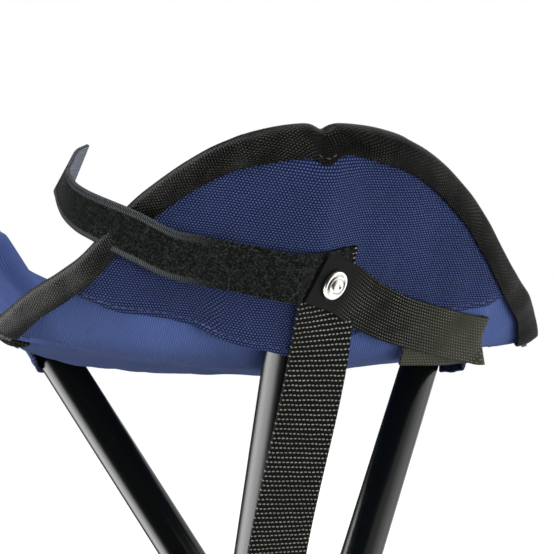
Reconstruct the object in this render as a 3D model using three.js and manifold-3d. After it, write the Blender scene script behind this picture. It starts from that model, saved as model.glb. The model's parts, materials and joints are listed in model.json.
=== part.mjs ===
// A three-legged folding stool: a slack cloth seat with three raised corners, each pulled over the tip
// of a steel leg. The legs cross in the middle, where each one turns on an arm of a three-armed hub.
// Units are millimetres and degrees. The floor is z = 0 and +Z is up.
import * as THREE from 'three';
import { mergeVertices } from 'three/addons/utils/BufferGeometryUtils.js';
import Module from 'manifold-3d';

const wasm = await Module();
wasm.setup();

// Legs
const legCount = 3;
const legTilt = 32; // from the vertical, with the stool open
const tubeDiameter = 19;
const tubeWall = 1.2;
const upperLength = 276; // pivot to the leg's tip
const lowerLength = 229; // pivot to the floor
const capHead = 8; // height of the plug that closes the upper end
const capStem = 14;
const footDiameter = 25;
const footHeight = 30;
const footTubeRise = 10.5; // floor to the tube's lower end, along the leg

// Hub and its hardware
const hubOffset = 20.6; // leg axis to the stool's middle
const armDiameter = 8;
const coreDiameter = 17;
const coreHeight = 18;
const shoulderDiameter = 14;
const sleeveWall = 1;
const sleeveProud = 0.8; // how far the sleeve stands out of the tube
const washerDiameter = 17;
const washerThickness = 1.4;
const nutFlats = 13;
const nutHeight = 6;
const nutDome = 4;
const runningGap = 0.3; // between pieces that touch or turn

// Seat cloth
const clothThickness = 1.2;
const clothGap = 0.3;
const clothEase = 0.5; // slack between the cloth and a leg
const rimOverhang = 1.8; // how far the rim stands out of a leg's tip, seen from above
const rimRise = 8; // rim above a leg's tip
const rimDrop = 68.5; // from there down to where two corners meet
const creaseDrop = 79; // crease below a leg's tip
const endWall = 13; // what is left of the raised cloth where two corners meet
const endFall = 2;
const middleDrop = 77; // middle of the seat below a leg's tip
const middleHole = 2;
const endReachSkew = 4.7; // how much farther out a corner's left end hangs than its right end
const endDropSkew = 5.2; // how much higher
const secondFall = 14; // how much lower the left half of corner B's rim hangs than corner A's
const secondPull = 4; // how much nearer the stool's middle
const thirdFall = 12; // the same for corner C
const thirdPull = 20;
const seatBulge = 3;
const seatTent = 26; // angle at which the seat leaves the leg's inner side
const pocketTent = 24;
const tentReach = 28; // leg's axis to where its push on the cloth ends
const domeDepth = 15; // rim down to where the cloth is as wide as the leg
const pocketDepth = 88; // rim to hem at the leg
const hemEndDepth = 5; // the same at the pocket's ends

// Binding tape
const tapeWidth = 12.5; // on each side of the rim
const tapeThickness = 1;
const tapeGap = 0.8; // the binding lies loosely on the cloth

// Straps and rivets
const carryWidth = 25;
const carryThickness = 1.4;
const carryTop = 36; // leg's tip to the strap's upper end
const carryEnd = 9; // from the lower rivet to the strap's lower end
const carrySag = 8.5; // how far the strap hangs off the leg
const closingThickness = 1.5;
const loopWidth = 19;
const loopLength = 136;
const hookWidth = 20;
const hookLength = 134; // with the end that is folded behind
const rivetDepth = 47; // leg's tip to the rivet
const lowRivetRise = 62; // floor to the lower rivet, along the leg
const rivetTurn = 24; // degrees round the leg from its outer side
const rivetHead = 6.4;
const rivetHeadHeight = 2;
const rivetShank = 4;
const rivetGrip = 5.5; // leg's axis to the shank's inner end
const rivetHoleEase = 0.35;
const washerDish = 11.4;
const dishHeight = 1.8;

// Shares and counts
const circle = 360;
const thirdTurn = circle / legCount;
const halfPetal = thirdTurn / 2;
const roundSides = 20;
const smallSides = 14;
const petalColumns = 28;
const columnPowerShare = 1.3; // columns crowd towards the leg
const rimRowShares = [0, 0.33, 0.67, 1]; // of what the tape covers
const seatRowShares = [0.1, 0.28, 0.52, 0.76]; // of the wall below the tape
const cornerRowShares = [0.25, 0.5, 0.75];
const floorRowShares = [0.25, 0.5, 0.75, 1];
const pocketRowShares = [0.1, 0.35, 0.67, 1]; // of the pocket below the tape
const pocketColumns = 20;
const pocketTurnShare = 0.7; // of half a petal
const creaseReachShare = 0.5819; // foot of the raised corner, of the rim's reach
const hangPeakShares = [0.5, 0.36, 0.45]; // where each left half hangs lowest, from the leg to its end
const creaseReachPowerShare = 1.6;
const creaseDropPowerShare = 2.2;
const tapeTurnShare = 0.985; // of half a petal
const carrySteps = 48;
const loopSteps = 44;
const hookSteps = 60;
const tapeCornerShare = 0.35;
const tapeMostShare = 0.97; // of the wall that the tape may cover
const rimTable = {
  turnShares: [0, 0.2, 0.417, 0.633, 0.833, 1],
  reachShares: [1, 1.013, 0.954, 0.911, 0.889, 0.88],
  dropShares: [0, 0.077, 0.304, 0.644, 0.823, 1],
};
// Along the carrying strap: how far down, its turn round the leg, its part of the sag, its drift sideways.
const carryTable = {
  downShares: [0, 0.03, 0.09, 0.14, 0.28, 0.43, 0.58, 0.75, 0.93, 1],
  turnShares: [1, 1, 0.92, 0.7, 0.08, 0, 0, 0, 0, 0],
  sagShares: [0, 0, 0.3, 0.5, 0.95, 1, 0.75, 0.4, 0, 0],
  driftShares: [0.07, 0.07, 0.06, 0.04, 0, 0, -0.04, -0.04, 0, 0],
};
// Along the two halves of the closing strap. The turns of the face are in degrees.
const loopTable = {
  acrossShares: [
    0.112, 0.043, -0.026, -0.06, -0.114, -0.19, -0.257, -0.312, -0.37,
    -0.419, -0.469, -0.521, -0.568, -0.604, -0.62, -0.608, -0.579,
  ],
  downShares: [
    -0.019, -0.018, -0.026, -0.03, -0.036, -0.039, -0.035, -0.031, -0.029,
    -0.039, -0.057, -0.075, -0.089, -0.112, -0.125, -0.137, -0.169,
  ],
  outShares: [
    0.066, 0.096, 0.127, 0.142, 0.135, 0.099, 0.06, 0.021, -0.021,
    -0.053, -0.079, -0.104, -0.143, -0.184, -0.228, -0.279, -0.309,
  ],
  turns: [24, 24, 24, 14, -8, -24, -26, -26, -26, -25, -24, -30, -42, -60, -85, -110, -130],
};
const hookTable = {
  acrossShares: [
    -0.009, 0.049, 0.103, 0.174, 0.288, 0.381, 0.452, 0.546,
    0.604, 0.624, 0.612, 0.564, 0.501, 0.428, 0.36,
  ],
  downShares: [
    -0.032, 0, 0.031, 0.085, 0.145, 0.181, 0.204, 0.231,
    0.244, 0.252, 0.261, 0.261, 0.261, 0.257, 0.253,
  ],
  outShares: [
    0.136, 0.11, 0.086, 0.064, 0.051, 0.037, 0.03, 0.019,
    0.014, 0.001, -0.014, -0.011, -0.004, -0.002, 0.002,
  ],
  turns: [24, 24, 24, 12, 4, 2, 3, 5, 14, 90, 170, 178, 180, 180, 180],
};

const tubeRadius = tubeDiameter / 2;
const radians = THREE.MathUtils.degToRad;
const tiltSin = Math.sin(radians(legTilt));
const tiltCos = Math.cos(radians(legTilt));
const hubHeight = lowerLength * tiltCos;
const tipHeight = hubHeight + upperLength * tiltCos;
const tipReach = upperLength * tiltSin;
const tipTurn = THREE.MathUtils.radToDeg(Math.atan2(hubOffset, tipReach));
const rimReach = Math.hypot(hubOffset, tipReach) + rimOverhang;
const creaseReach = rimReach * creaseReachShare;
const lowRivetDepth = upperLength + lowerLength - lowRivetRise;
const carryBottom = lowRivetDepth + carryEnd;

// Materials
function finish(colour, roughness, metalness) {
  return () => new THREE.MeshStandardMaterial({ color: colour, roughness, metalness });
}
const glossBlack = finish(0x0d0f0e, 0.2, 0.1);
const mattBlack = finish(0x1b1c1d, 0.75, 0);
const zinc = finish(0xa9abab, 0.4, 0.9);
const nickel = finish(0xc9c6bf, 0.22, 1);
const blueCloth = finish(0x4b5c96, 0.85, 0);
const navyCloth = finish(0x28335f, 0.85, 0);
const tapeBlack = finish(0x2b2b29, 0.9, 0);
const webbingBlack = finish(0x24241f, 0.9, 0);

// Solids and booleans
function solidOf(geometry) {
  const bare = geometry.clone();
  bare.deleteAttribute('normal');
  bare.deleteAttribute('uv');
  const merged = mergeVertices(bare);
  return new wasm.Manifold(new wasm.Mesh({
    numProp: 3,
    vertProperties: merged.attributes.position.array,
    triVerts: new Uint32Array(merged.index.array),
  }));
}

function geometryOf(solid) {
  const mesh = solid.getMesh();
  const geometry = new THREE.BufferGeometry();
  geometry.setAttribute('position', new THREE.BufferAttribute(mesh.vertProperties, 3));
  geometry.setIndex(new THREE.BufferAttribute(mesh.triVerts, 1));
  return geometry;
}

function cut(geometry, ...tools) {
  return geometryOf(tools.reduce((left, tool) => left.subtract(solidOf(tool)), solidOf(geometry)));
}

function join(geometry, ...others) {
  return geometryOf(others.reduce((whole, other) => whole.add(solidOf(other)), solidOf(geometry)));
}

// A cylinder along Z from low to high.
function rod(radius, low, high, sides = roundSides) {
  return new THREE.CylinderGeometry(radius, radius, high - low, sides)
    .rotateX(Math.PI / 2)
    .translate(0, 0, (low + high) / 2);
}

// A solid of revolution about Z from [radius, height] pairs that run from the bottom to the top.
function turned(profile, sides = roundSides) {
  const points = profile.map(([radius, height]) => new THREE.Vector2(radius, height));
  return new THREE.LatheGeometry(points, sides).rotateX(Math.PI / 2);
}

// A closed shell between two grids of points, front and back, each an array of rows.
function shellBetween(front, back) {
  const rows = front.length;
  const columns = front[0].length;
  const positions = [];
  const faces = [];
  for (const side of [front, back]) {
    for (const row of side) {
      for (const point of row) positions.push(point.x, point.y, point.z);
    }
  }
  const at = (side, row, column) => (side * rows + row) * columns + column;
  const quad = (a, b, c, d) => faces.push(a, b, c, a, c, d);
  for (let row = 0; row < rows - 1; row += 1) {
    for (let column = 0; column < columns - 1; column += 1) {
      quad(at(0, row, column), at(0, row + 1, column), at(0, row + 1, column + 1), at(0, row, column + 1));
      quad(at(1, row, column), at(1, row, column + 1), at(1, row + 1, column + 1), at(1, row + 1, column));
    }
    const last = columns - 1;
    quad(at(0, row, 0), at(1, row, 0), at(1, row + 1, 0), at(0, row + 1, 0));
    quad(at(0, row, last), at(0, row + 1, last), at(1, row + 1, last), at(1, row, last));
  }
  for (let column = 0; column < columns - 1; column += 1) {
    const bottom = rows - 1;
    quad(at(0, 0, column), at(0, 0, column + 1), at(1, 0, column + 1), at(1, 0, column));
    quad(at(0, bottom, column), at(1, bottom, column), at(1, bottom, column + 1), at(0, bottom, column + 1));
  }
  return facingOut(positions, faces);
}

// A closed tube of sections, each an array of points that goes round the same way.
function loft(sections) {
  const count = sections[0].length;
  const positions = sections.flat().flatMap((point) => [point.x, point.y, point.z]);
  const faces = [];
  for (let section = 0; section < sections.length - 1; section += 1) {
    for (let point = 0; point < count; point += 1) {
      const next = (point + 1) % count;
      const a = section * count + point;
      const b = section * count + next;
      faces.push(a, b, b + count, a, b + count, a + count);
    }
  }
  const flat = (offset, flip) => {
    // The section is a folded strip, so its end is closed pair by pair.
    for (let point = 0; point < count / 2 - 1; point += 1) {
      const a = offset + point;
      const b = offset + point + 1;
      const c = offset + count - 2 - point;
      const d = offset + count - 1 - point;
      if (flip) faces.push(a, c, b, a, d, c);
      else faces.push(a, b, c, a, c, d);
    }
  };
  flat(0, true);
  flat((sections.length - 1) * count, false);
  return facingOut(positions, faces);
}

function facingOut(positions, faces) {
  const corner = (index) => new THREE.Vector3().fromArray(positions, index * 3);
  let volume = 0;
  for (let face = 0; face < faces.length; face += 3) {
    const [a, b, c] = [corner(faces[face]), corner(faces[face + 1]), corner(faces[face + 2])];
    volume += a.dot(b.cross(c));
  }
  if (volume < 0) {
    for (let face = 0; face < faces.length; face += 3) {
      [faces[face + 1], faces[face + 2]] = [faces[face + 2], faces[face + 1]];
    }
  }
  const geometry = new THREE.BufferGeometry();
  geometry.setAttribute('position', new THREE.Float32BufferAttribute(positions, 3));
  geometry.setIndex(faces);
  return geometry;
}

// A smooth curve through a table's values.
function through(stations, values, at) {
  const last = stations.length - 1;
  let low = 0;
  while (low < last - 1 && at > stations[low + 1]) low += 1;
  const slope = (index) => {
    if (index <= 0) return 0;
    if (index >= last) return (values[last] - values[last - 1]) / (stations[last] - stations[last - 1]);
    return (values[index + 1] - values[index - 1]) / (stations[index + 1] - stations[index - 1]);
  };
  const span = stations[low + 1] - stations[low];
  const t = THREE.MathUtils.clamp((at - stations[low]) / span, 0, 1);
  const rise = values[low + 1] - values[low];
  const [from, to] = [slope(low) * span, slope(low + 1) * span];
  return values[low] + t * (from + t * (3 * rise - 2 * from - to + t * (from + to - 2 * rise)));
}

const smooth = (t) => {
  const s = THREE.MathUtils.clamp(t, 0, 1);
  return s * s * (3 - 2 * s);
};

// The larger of two lengths, with the corner between them rounded over about one cloth's thickness.
function softLarger(a, b) {
  const span = clothThickness;
  return Math.max(a, b) + span * Math.log1p(Math.exp(-Math.abs(a - b) / span));
}

// The seat's corner round leg A, in a frame whose origin is on the stool's middle line at the height of
// the leg tips. The turn runs from -halfPetal to halfPetal, and is 0 through the tip.
const legOut = new THREE.Vector3(0, -tiltCos, -tiltSin);
const legUp = new THREE.Vector3(0, -tiltSin, tiltCos);
const legAcross = new THREE.Vector3(1, 0, 0);
const legTip = new THREE.Vector3(-hubOffset, -tipReach, 0);

function polar(turn, reach, height) {
  const angle = radians(turn - tipTurn);
  return new THREE.Vector3(reach * Math.sin(angle), -reach * Math.cos(angle), height);
}

// How the left half of each corner's rim hangs, and the corner that is being drawn.
const hangs = [
  { fall: 0, pull: 0 },
  { fall: secondFall, pull: secondPull },
  { fall: thirdFall, pull: thirdPull },
];
let corner = 0;

function leftSlack(turn) {
  const share = Math.abs(turn) / halfPetal;
  const peak = hangPeakShares[corner];
  if (turn >= 0) return 0;
  return share < peak ? smooth(share / peak) : smooth((1 - share) / (1 - peak));
}

function rimAt(turn) {
  const share = Math.abs(turn) / halfPetal;
  const skew = Math.sign(turn) * share * share;
  const slack = leftSlack(turn);
  const reach = rimReach * through(rimTable.turnShares, rimTable.reachShares, share) - endReachSkew * skew;
  const drop = rimDrop * through(rimTable.turnShares, rimTable.dropShares, share) + endDropSkew * skew;
  const { fall, pull } = hangs[corner];
  return { reach: reach - pull * slack, height: rimRise - drop - fall * slack };
}

function creaseAt(turn) {
  const share = Math.abs(turn) / halfPetal;
  const end = rimAt(Math.sign(turn) * halfPetal);
  const endReach = end.reach - endWall;
  const endHeight = end.height - endFall;
  return {
    reach: creaseReach + (endReach - creaseReach) * share ** creaseReachPowerShare,
    height: -creaseDrop + (endHeight + creaseDrop) * share ** creaseDropPowerShare,
  };
}

const between = (a, b, share) => ({
  reach: a.reach + (b.reach - a.reach) * share,
  height: a.height + (b.height - a.height) * share,
});

// A point of the raised corner's plain wall, before the leg pushes it in or out.
function wallAt(turn, share) {
  const wall = between(rimAt(turn), creaseAt(turn), share);
  const bulge = seatBulge * Math.sin(Math.PI * share) * (1 - (turn / halfPetal) ** 2);
  return polar(turn, wall.reach + bulge, wall.height);
}

function wallLength(turn) {
  return wallAt(turn, 0).distanceTo(wallAt(turn, 1));
}

// Outward normal of the plain wall.
function wallNormal(turn, share) {
  const step = 1 / petalColumns;
  const side = wallAt(turn + step, share).sub(wallAt(turn - step, share));
  const down = wallAt(turn, share + step).sub(wallAt(turn, share - step));
  return down.cross(side).normalize();
}

// How far the leg holds a cloth off its own axis, where the cloth leaves the leg at the tent angle.
function legHold(point, tent) {
  const fromTip = point.clone().sub(legTip);
  const radius = tubeRadius + clothGap + clothEase + clothThickness / 2;
  const across = Math.abs(fromTip.dot(legAcross));
  const side = radians(tent);
  const tangent = radius * Math.sin(side);
  const off = across < tangent
    ? Math.sqrt(radius * radius - across * across)
    : radius * Math.cos(side) - (across - tangent) * Math.tan(side) - Math.max(0, across - tentReach);
  const below = rimRise - fromTip.dot(legUp);
  return off > 0 ? off * smooth(below / domeDepth) : off;
}

// The tape's share of the wall.
function tapeReach(turn) {
  return Math.min(tapeMostShare, tapeWidth / wallLength(turn));
}

// Shares of the wall, from the rim to an end: first under the tape, then below it.
function wallShares(turn, end, lowerShares) {
  const taped = Math.min(end, tapeReach(turn));
  return [
    ...rimRowShares.map((share) => taped * share),
    ...lowerShares.map((share) => taped + (end - taped) * share),
  ];
}

// A point of the seat's cloth where the leg's inner side holds it up.
function seatHeld(point) {
  const inward = -point.clone().sub(legTip).dot(legOut);
  const held = softLarger(inward, legHold(point, seatTent));
  return point.addScaledVector(legOut, inward - held);
}

const seatAt = (turn, share) => seatHeld(wallAt(turn, share));

// A line of points from the rim down the wall, round the crease and in to the middle.
function seatLine(turn) {
  const shares = wallShares(turn, 1, seatRowShares);
  const crease = creaseAt(turn);
  const middle = { reach: middleHole, height: -middleDrop };
  const start = between(rimAt(turn), crease, shares[shares.length - 1]);
  const finish = between(crease, middle, floorRowShares[0]);
  const corner = cornerRowShares.map((share) => between(
    between(start, crease, share),
    between(crease, finish, share),
    share,
  ));
  const floor = floorRowShares.map((share) => between(crease, middle, share));
  return [
    ...shares.map((share) => seatAt(turn, share)),
    ...[...corner, ...floor].map(({ reach, height }) => seatHeld(polar(turn, reach, height))),
  ];
}

function pocketAt(turn, share) {
  const normal = wallNormal(turn, share);
  const point = wallAt(turn, share).addScaledVector(normal, clothThickness + 2 * clothGap);
  const outward = point.clone().sub(legTip).dot(legOut);
  const held = softLarger(outward, legHold(point, pocketTent));
  return point.addScaledVector(legOut, held - outward);
}

// Turns from one side of a petal to the other, crowded towards the leg.
function petalTurns(columns, edge) {
  return Array.from({ length: columns + 1 }, (_, column) => {
    const share = (2 * column) / columns - 1;
    return edge * Math.sign(share) * Math.abs(share) ** columnPowerShare;
  });
}

// A grid of points moved along its own normals, which point out of the stool.
function offsetGrid(middle, distance) {
  const rows = middle.length;
  const columns = middle[0].length;
  return middle.map((row, r) => row.map((point, c) => {
    const along = row[Math.min(c + 1, columns - 1)].clone().sub(row[Math.max(c - 1, 0)]);
    const down = middle[Math.min(r + 1, rows - 1)][c].clone().sub(middle[Math.max(r - 1, 0)][c]);
    return point.clone().addScaledVector(down.cross(along).normalize(), distance);
  }));
}

function thicken(middle, thickness) {
  return [offsetGrid(middle, thickness / 2), offsetGrid(middle, -thickness / 2)];
}

// The seat's cloth from its rim to the middle, with its points turned a little towards the leg so that
// it stops half a gap short of its neighbours.
function seatSector() {
  const lines = petalTurns(petalColumns, halfPetal).map((turn) => seatLine(turn).map((point) => {
    const trim = Math.asin(clothGap / 2 / Math.hypot(point.x, point.y)) * (turn / halfPetal);
    return point.applyAxisAngle(new THREE.Vector3(0, 0, 1), -trim);
  }));
  const rows = lines[0].map((_, row) => lines.map((line) => line[row]));
  return shellBetween(...thicken(rows, clothThickness));
}

function pocket() {
  const edge = halfPetal * pocketTurnShare;
  const lines = petalTurns(pocketColumns, edge).map((turn) => {
    // The hem rises to either side of the leg as a cosine does.
    const fall = Math.cos((Math.PI / 2) * (turn / edge));
    const depth = hemEndDepth + (pocketDepth - hemEndDepth) * fall;
    const end = Math.min(1, depth / wallLength(turn));
    return wallShares(turn, end, pocketRowShares).map((share) => pocketAt(turn, share));
  });
  const middle = lines[0].map((_, row) => lines.map((line) => line[row]));
  const bore = onLegSide(rod(rivetShank / 2 + rivetHoleEase, tubeRadius, headSeat), rivetDepth, rivetTurn);
  return cut(shellBetween(...thicken(middle, clothThickness)), intoTipFrame(bore));
}

// The binding tape is folded over the rim and lies on the outside of both cloths.
function bindingTape() {
  const turns = petalTurns(petalColumns, halfPetal * tapeTurnShare);
  const gridOf = (at) => rimRowShares.map((share) => turns.map((turn) => at(turn, share * tapeReach(turn))));
  const sides = [{ grid: gridOf(pocketAt), sign: 1 }, { grid: gridOf(seatAt), sign: -1 }];
  const off = clothThickness / 2 + tapeGap;
  const face = (thickness) => {
    const [outer, inner] = sides.map(({ grid, sign }) => offsetGrid(grid, sign * (off + thickness)));
    const corners = sides.map(({ grid, sign }) => (
      offsetGrid(grid, sign * (off + thickness * tapeCornerShare))[0]));
    return turns.map((turn, column) => {
      const up = wallAt(turn, 0).sub(wallAt(turn, 1)).normalize();
      return [
        ...outer.map((row) => row[column]).reverse(),
        ...corners.map((row) => row[column].addScaledVector(up, tapeGap + thickness)),
        ...inner.map((row) => row[column]),
      ];
    });
  };
  const [far, near] = [face(tapeThickness), face(0)];
  return loft(far.map((section, column) => [...section, ...near[column].reverse()]));
}

// A flat strap from stations that each hold a centre, a direction across the width and a normal.
function ribbon(stations, width, thickness) {
  const row = (side) => stations.map(({ centre, across }) => centre.clone().addScaledVector(across, (side * width) / 2));
  const face = (sign) => [-1, 1].map((side) => row(side).map((point, index) => point
    .addScaledVector(stations[index].normal, (sign * thickness) / 2)));
  return shellBetween(face(1), face(-1));
}

// Straps, rivets and all that is fixed to a leg are drawn along the leg: +Z is up the leg from the
// pivot, -Y is the leg's outer side and +X is to the right of it.
function onLegSide(geometry, depth, turn) {
  return geometry
    .rotateX(Math.PI / 2)
    .rotateZ(radians(turn))
    .translate(0, 0, upperLength - depth);
}

function intoTipFrame(geometry) {
  return geometry.rotateX(radians(legTilt)).translate(-hubOffset, 0, hubHeight - tipHeight);
}

const pocketFace = tubeRadius + clothGap + clothEase + clothThickness;
const carryMiddle = pocketFace + clothGap + carryThickness / 2;
const loopMiddle = carryMiddle + carryThickness / 2 + clothGap + closingThickness / 2;
const hookMiddle = loopMiddle + closingThickness + clothGap;
const headSeat = hookMiddle + closingThickness / 2 + clothGap;
const lowStrapMiddle = tubeRadius + runningGap + carryThickness / 2;
const lowHeadSeat = lowStrapMiddle + carryThickness / 2 + runningGap;

function rivetBore(depth, turn) {
  return onLegSide(rod(rivetShank / 2 + rivetHoleEase, rivetGrip, headSeat + rivetHead), depth, turn);
}

// Stations of a strap along a smooth line through places in the leg's frame, each with the turn of the
// strap's face from the leg's outer side.
function stationsThrough(places, turns, steps) {
  const line = new THREE.CatmullRomCurve3(places, false, 'centripetal');
  const indices = turns.map((_, index) => index / (turns.length - 1));
  return Array.from({ length: steps + 1 }, (_, step) => {
    const share = step / steps;
    const tangent = line.getTangent(share);
    const turn = radians(through(indices, turns, share));
    const face = new THREE.Vector3(Math.sin(turn), -Math.cos(turn), 0);
    const normal = face.addScaledVector(tangent, -face.dot(tangent)).normalize();
    return { centre: line.getPoint(share), normal, across: tangent.clone().cross(normal) };
  });
}

function carryStrap() {
  const { downShares, turnShares, sagShares, driftShares } = carryTable;
  const length = carryBottom - carryTop;
  const places = downShares.map((down, index) => {
    const distance = carryMiddle + (lowStrapMiddle - carryMiddle) * down + carrySag * sagShares[index];
    const turn = radians(rivetTurn * turnShares[index]);
    const drift = carryWidth * driftShares[index];
    return new THREE.Vector3(
      distance * Math.sin(turn) + drift * Math.cos(turn),
      drift * Math.sin(turn) - distance * Math.cos(turn),
      upperLength - carryTop - length * down,
    );
  });
  const turns = turnShares.map((share) => rivetTurn * share);
  const strap = ribbon(stationsThrough(places, turns, carrySteps), carryWidth, carryThickness);
  return cut(strap, rivetBore(rivetDepth, rivetTurn), rivetBore(lowRivetDepth, 0));
}

// Half of the closing strap, whose places are shares of its length: to the right of the leg, down from
// the rivet and out from the leg's axis.
function closingStrap(table, length, width, steps) {
  const places = table.acrossShares.map((across, index) => new THREE.Vector3(
    length * across,
    -length * table.outShares[index],
    upperLength - rivetDepth - length * table.downShares[index],
  ));
  const strap = ribbon(stationsThrough(places, table.turns, steps), width, closingThickness);
  return cut(strap, rivetBore(rivetDepth, rivetTurn));
}

// A dished washer and a domed rivet along Z, seated at a distance from the leg's axis.
function dishedWasher(seat) {
  const outer = washerDish / 2;
  const inner = rivetShank / 2 + rivetHoleEase;
  return turned([
    [inner, seat],
    [outer, seat],
    [outer, seat + dishHeight * 0.6],
    [outer * 0.93, seat + dishHeight],
    [outer * 0.8, seat + dishHeight * 0.95],
    [outer * 0.66, seat + dishHeight * 0.5],
    [inner, seat + dishHeight * 0.5],
    [inner, seat],
  ], roundSides);
}

function rivet(seat) {
  const shank = rivetShank / 2;
  const head = rivetHead / 2;
  const under = seat + dishHeight * 0.5 + runningGap;
  return turned([
    [0, rivetGrip],
    [shank, rivetGrip],
    [shank, under],
    [head, under],
    [head * 0.95, under + rivetHeadHeight * 0.5],
    [head * 0.65, under + rivetHeadHeight * 0.9],
    [head * 0.4, under + rivetHeadHeight],
    [head * 0.3, under + rivetHeadHeight * 0.6],
    [0, under + rivetHeadHeight * 0.55],
  ], smallSides);
}

// The tube is drilled for its sleeve, and leg A's also for its two rivets.
function legTube(rivets) {
  const low = footTubeRise - lowerLength;
  const high = upperLength - capHead - runningGap;
  const bore = rod(tubeRadius - tubeWall, low - tubeRadius, high + tubeRadius);
  const sleeveBore = rod(sleeveRadius + runningGap, -tubeDiameter, tubeDiameter).rotateY(Math.PI / 2);
  const bores = rivets.map(({ depth, turn }) => rivetBore(depth, turn));
  return cut(rod(tubeRadius, low, high), bore, sleeveBore, ...bores);
}

function tipCap() {
  const stem = tubeRadius - tubeWall - runningGap;
  const shoulder = upperLength - capHead;
  return turned([
    [0, shoulder - capStem],
    [stem * 0.92, shoulder - capStem],
    [stem, shoulder - capStem * 0.8],
    [stem, shoulder],
    [tubeRadius * 0.98, shoulder],
    [tubeRadius * 0.92, shoulder + capHead * 0.25],
    [tubeRadius * 0.76, shoulder + capHead * 0.5],
    [tubeRadius * 0.48, shoulder + capHead * 0.78],
    [0, upperLength],
  ]);
}

// A rubber ferrule round the tube's end, cut off level with the floor.
function foot() {
  const radius = footDiameter / 2;
  const top = footHeight - lowerLength;
  const body = turned([
    [0, -lowerLength - footDiameter],
    [radius, -lowerLength - footDiameter],
    [radius, top - footHeight * 0.45],
    [radius * 0.93, top - footHeight * 0.38],
    [radius * 0.93, top - footHeight * 0.08],
    [radius * 0.88, top],
    [0, top],
  ]);
  const socket = rod(tubeRadius + runningGap, footTubeRise - lowerLength - runningGap, top + footHeight);
  const below = new THREE.BoxGeometry(footDiameter * 4, footDiameter * 4, footDiameter * 2)
    .translate(0, 0, -footDiameter)
    .rotateX(-radians(legTilt))
    .translate(0, 0, -lowerLength);
  return cut(body, socket, below);
}

const sleeveRadius = armDiameter / 2 + runningGap + sleeveWall;
const sleeveReach = tubeRadius + sleeveProud;
const washerSeat = sleeveReach + runningGap;
const nutSeat = washerSeat + washerThickness + runningGap;

// Hub pieces of leg A's arm lie along -X from the leg's axis.
function pivotSleeve() {
  const inside = rod(armDiameter / 2 + runningGap, -tubeDiameter, tubeDiameter);
  return cut(rod(sleeveRadius, -sleeveReach, sleeveReach), inside).rotateY(-Math.PI / 2);
}

function washer() {
  const inside = rod(armDiameter / 2 + runningGap, 0, tubeDiameter);
  return cut(rod(washerDiameter / 2, washerSeat, washerSeat + washerThickness), inside).rotateY(-Math.PI / 2);
}

function capNut() {
  const radius = nutFlats / 2 / Math.cos(Math.PI / 6);
  const top = nutSeat + nutHeight;
  const dome = turned([
    [0, nutSeat],
    [nutFlats * 0.45, nutSeat],
    [nutFlats * 0.45, top],
    [nutFlats * 0.38, top + nutDome * 0.6],
    [nutFlats * 0.2, top + nutDome * 0.93],
    [0, top + nutDome],
  ]);
  const inside = rod(armDiameter / 2 + runningGap, 0, top + runningGap);
  return cut(join(rod(radius, nutSeat, top, 6), dome), inside).rotateY(-Math.PI / 2);
}

function hubArms() {
  const arms = Array.from({ length: legCount }, (_, index) => {
    const turn = radians(thirdTurn * index);
    const arm = rod(armDiameter / 2, 0, hubOffset + nutSeat + nutHeight);
    const shoulder = rod(shoulderDiameter / 2, 0, hubOffset - sleeveReach - runningGap);
    return join(arm, shoulder).rotateY(-Math.PI / 2).rotateZ(turn);
  });
  const core = turned([
    [0, -coreHeight / 2],
    [coreDiameter * 0.44, -coreHeight / 2],
    [coreDiameter / 2, coreHeight * -0.44],
    [coreDiameter / 2, coreHeight * 0.44],
    [coreDiameter * 0.44, coreHeight / 2],
    [0, coreHeight / 2],
  ]);
  return join(core, ...arms);
}

const stool = new THREE.Group();

function add(parent, name, geometry, material) {
  const mesh = new THREE.Mesh(geometry, material());
  mesh.name = name;
  parent.add(mesh);
  return mesh;
}

const hub = new THREE.Group();
hub.position.z = hubHeight;
stool.add(hub);
add(hub, 'hub_arms', hubArms(), zinc);

const legRivets = [
  { depth: rivetDepth, turn: rivetTurn, seat: headSeat, name: 'strap' },
  { depth: lowRivetDepth, turn: 0, seat: lowHeadSeat, name: 'lower' },
];

for (let index = 0; index < legCount; index += 1) {
  const letter = 'abc'[index];
  const third = new THREE.Group();
  // Leg B is a third of a turn clockwise from leg A, seen from above.
  third.rotation.z = -radians(thirdTurn * index);
  stool.add(third);

  const leg = new THREE.Group();
  leg.position.set(-hubOffset, 0, hubHeight);
  leg.rotation.x = radians(legTilt);
  third.add(leg);
  add(leg, `leg_tube_${letter}`, legTube(index === 0 ? legRivets : []), glossBlack);
  add(leg, `pivot_sleeve_${letter}`, pivotSleeve(), mattBlack);
  add(leg, `leg_washer_${letter}`, washer(), zinc);
  add(leg, `cap_nut_${letter}`, capNut(), zinc);
  add(leg, `tip_cap_${letter}`, tipCap(), mattBlack);
  add(leg, `foot_${letter}`, foot(), mattBlack);
  if (index === 0) {
    add(leg, 'carry_strap', carryStrap(), webbingBlack);
    add(leg, 'loop_strap', closingStrap(loopTable, loopLength, loopWidth, loopSteps), webbingBlack);
    add(leg, 'hook_strap', closingStrap(hookTable, hookLength, hookWidth, hookSteps), webbingBlack);
    for (const { depth, turn, seat, name } of legRivets) {
      add(leg, `${name}_washer`, onLegSide(dishedWasher(seat), depth, turn), nickel);
      add(leg, `${name}_rivet`, onLegSide(rivet(seat), depth, turn), nickel);
    }
  }

  corner = index;
  const cloth = new THREE.Group();
  cloth.position.z = tipHeight;
  third.add(cloth);
  add(cloth, `seat_sector_${letter}`, seatSector(), blueCloth);
  add(cloth, `pocket_${letter}`, pocket(), navyCloth);
  add(cloth, `binding_tape_${letter}`, bindingTape(), tapeBlack);
}

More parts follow.
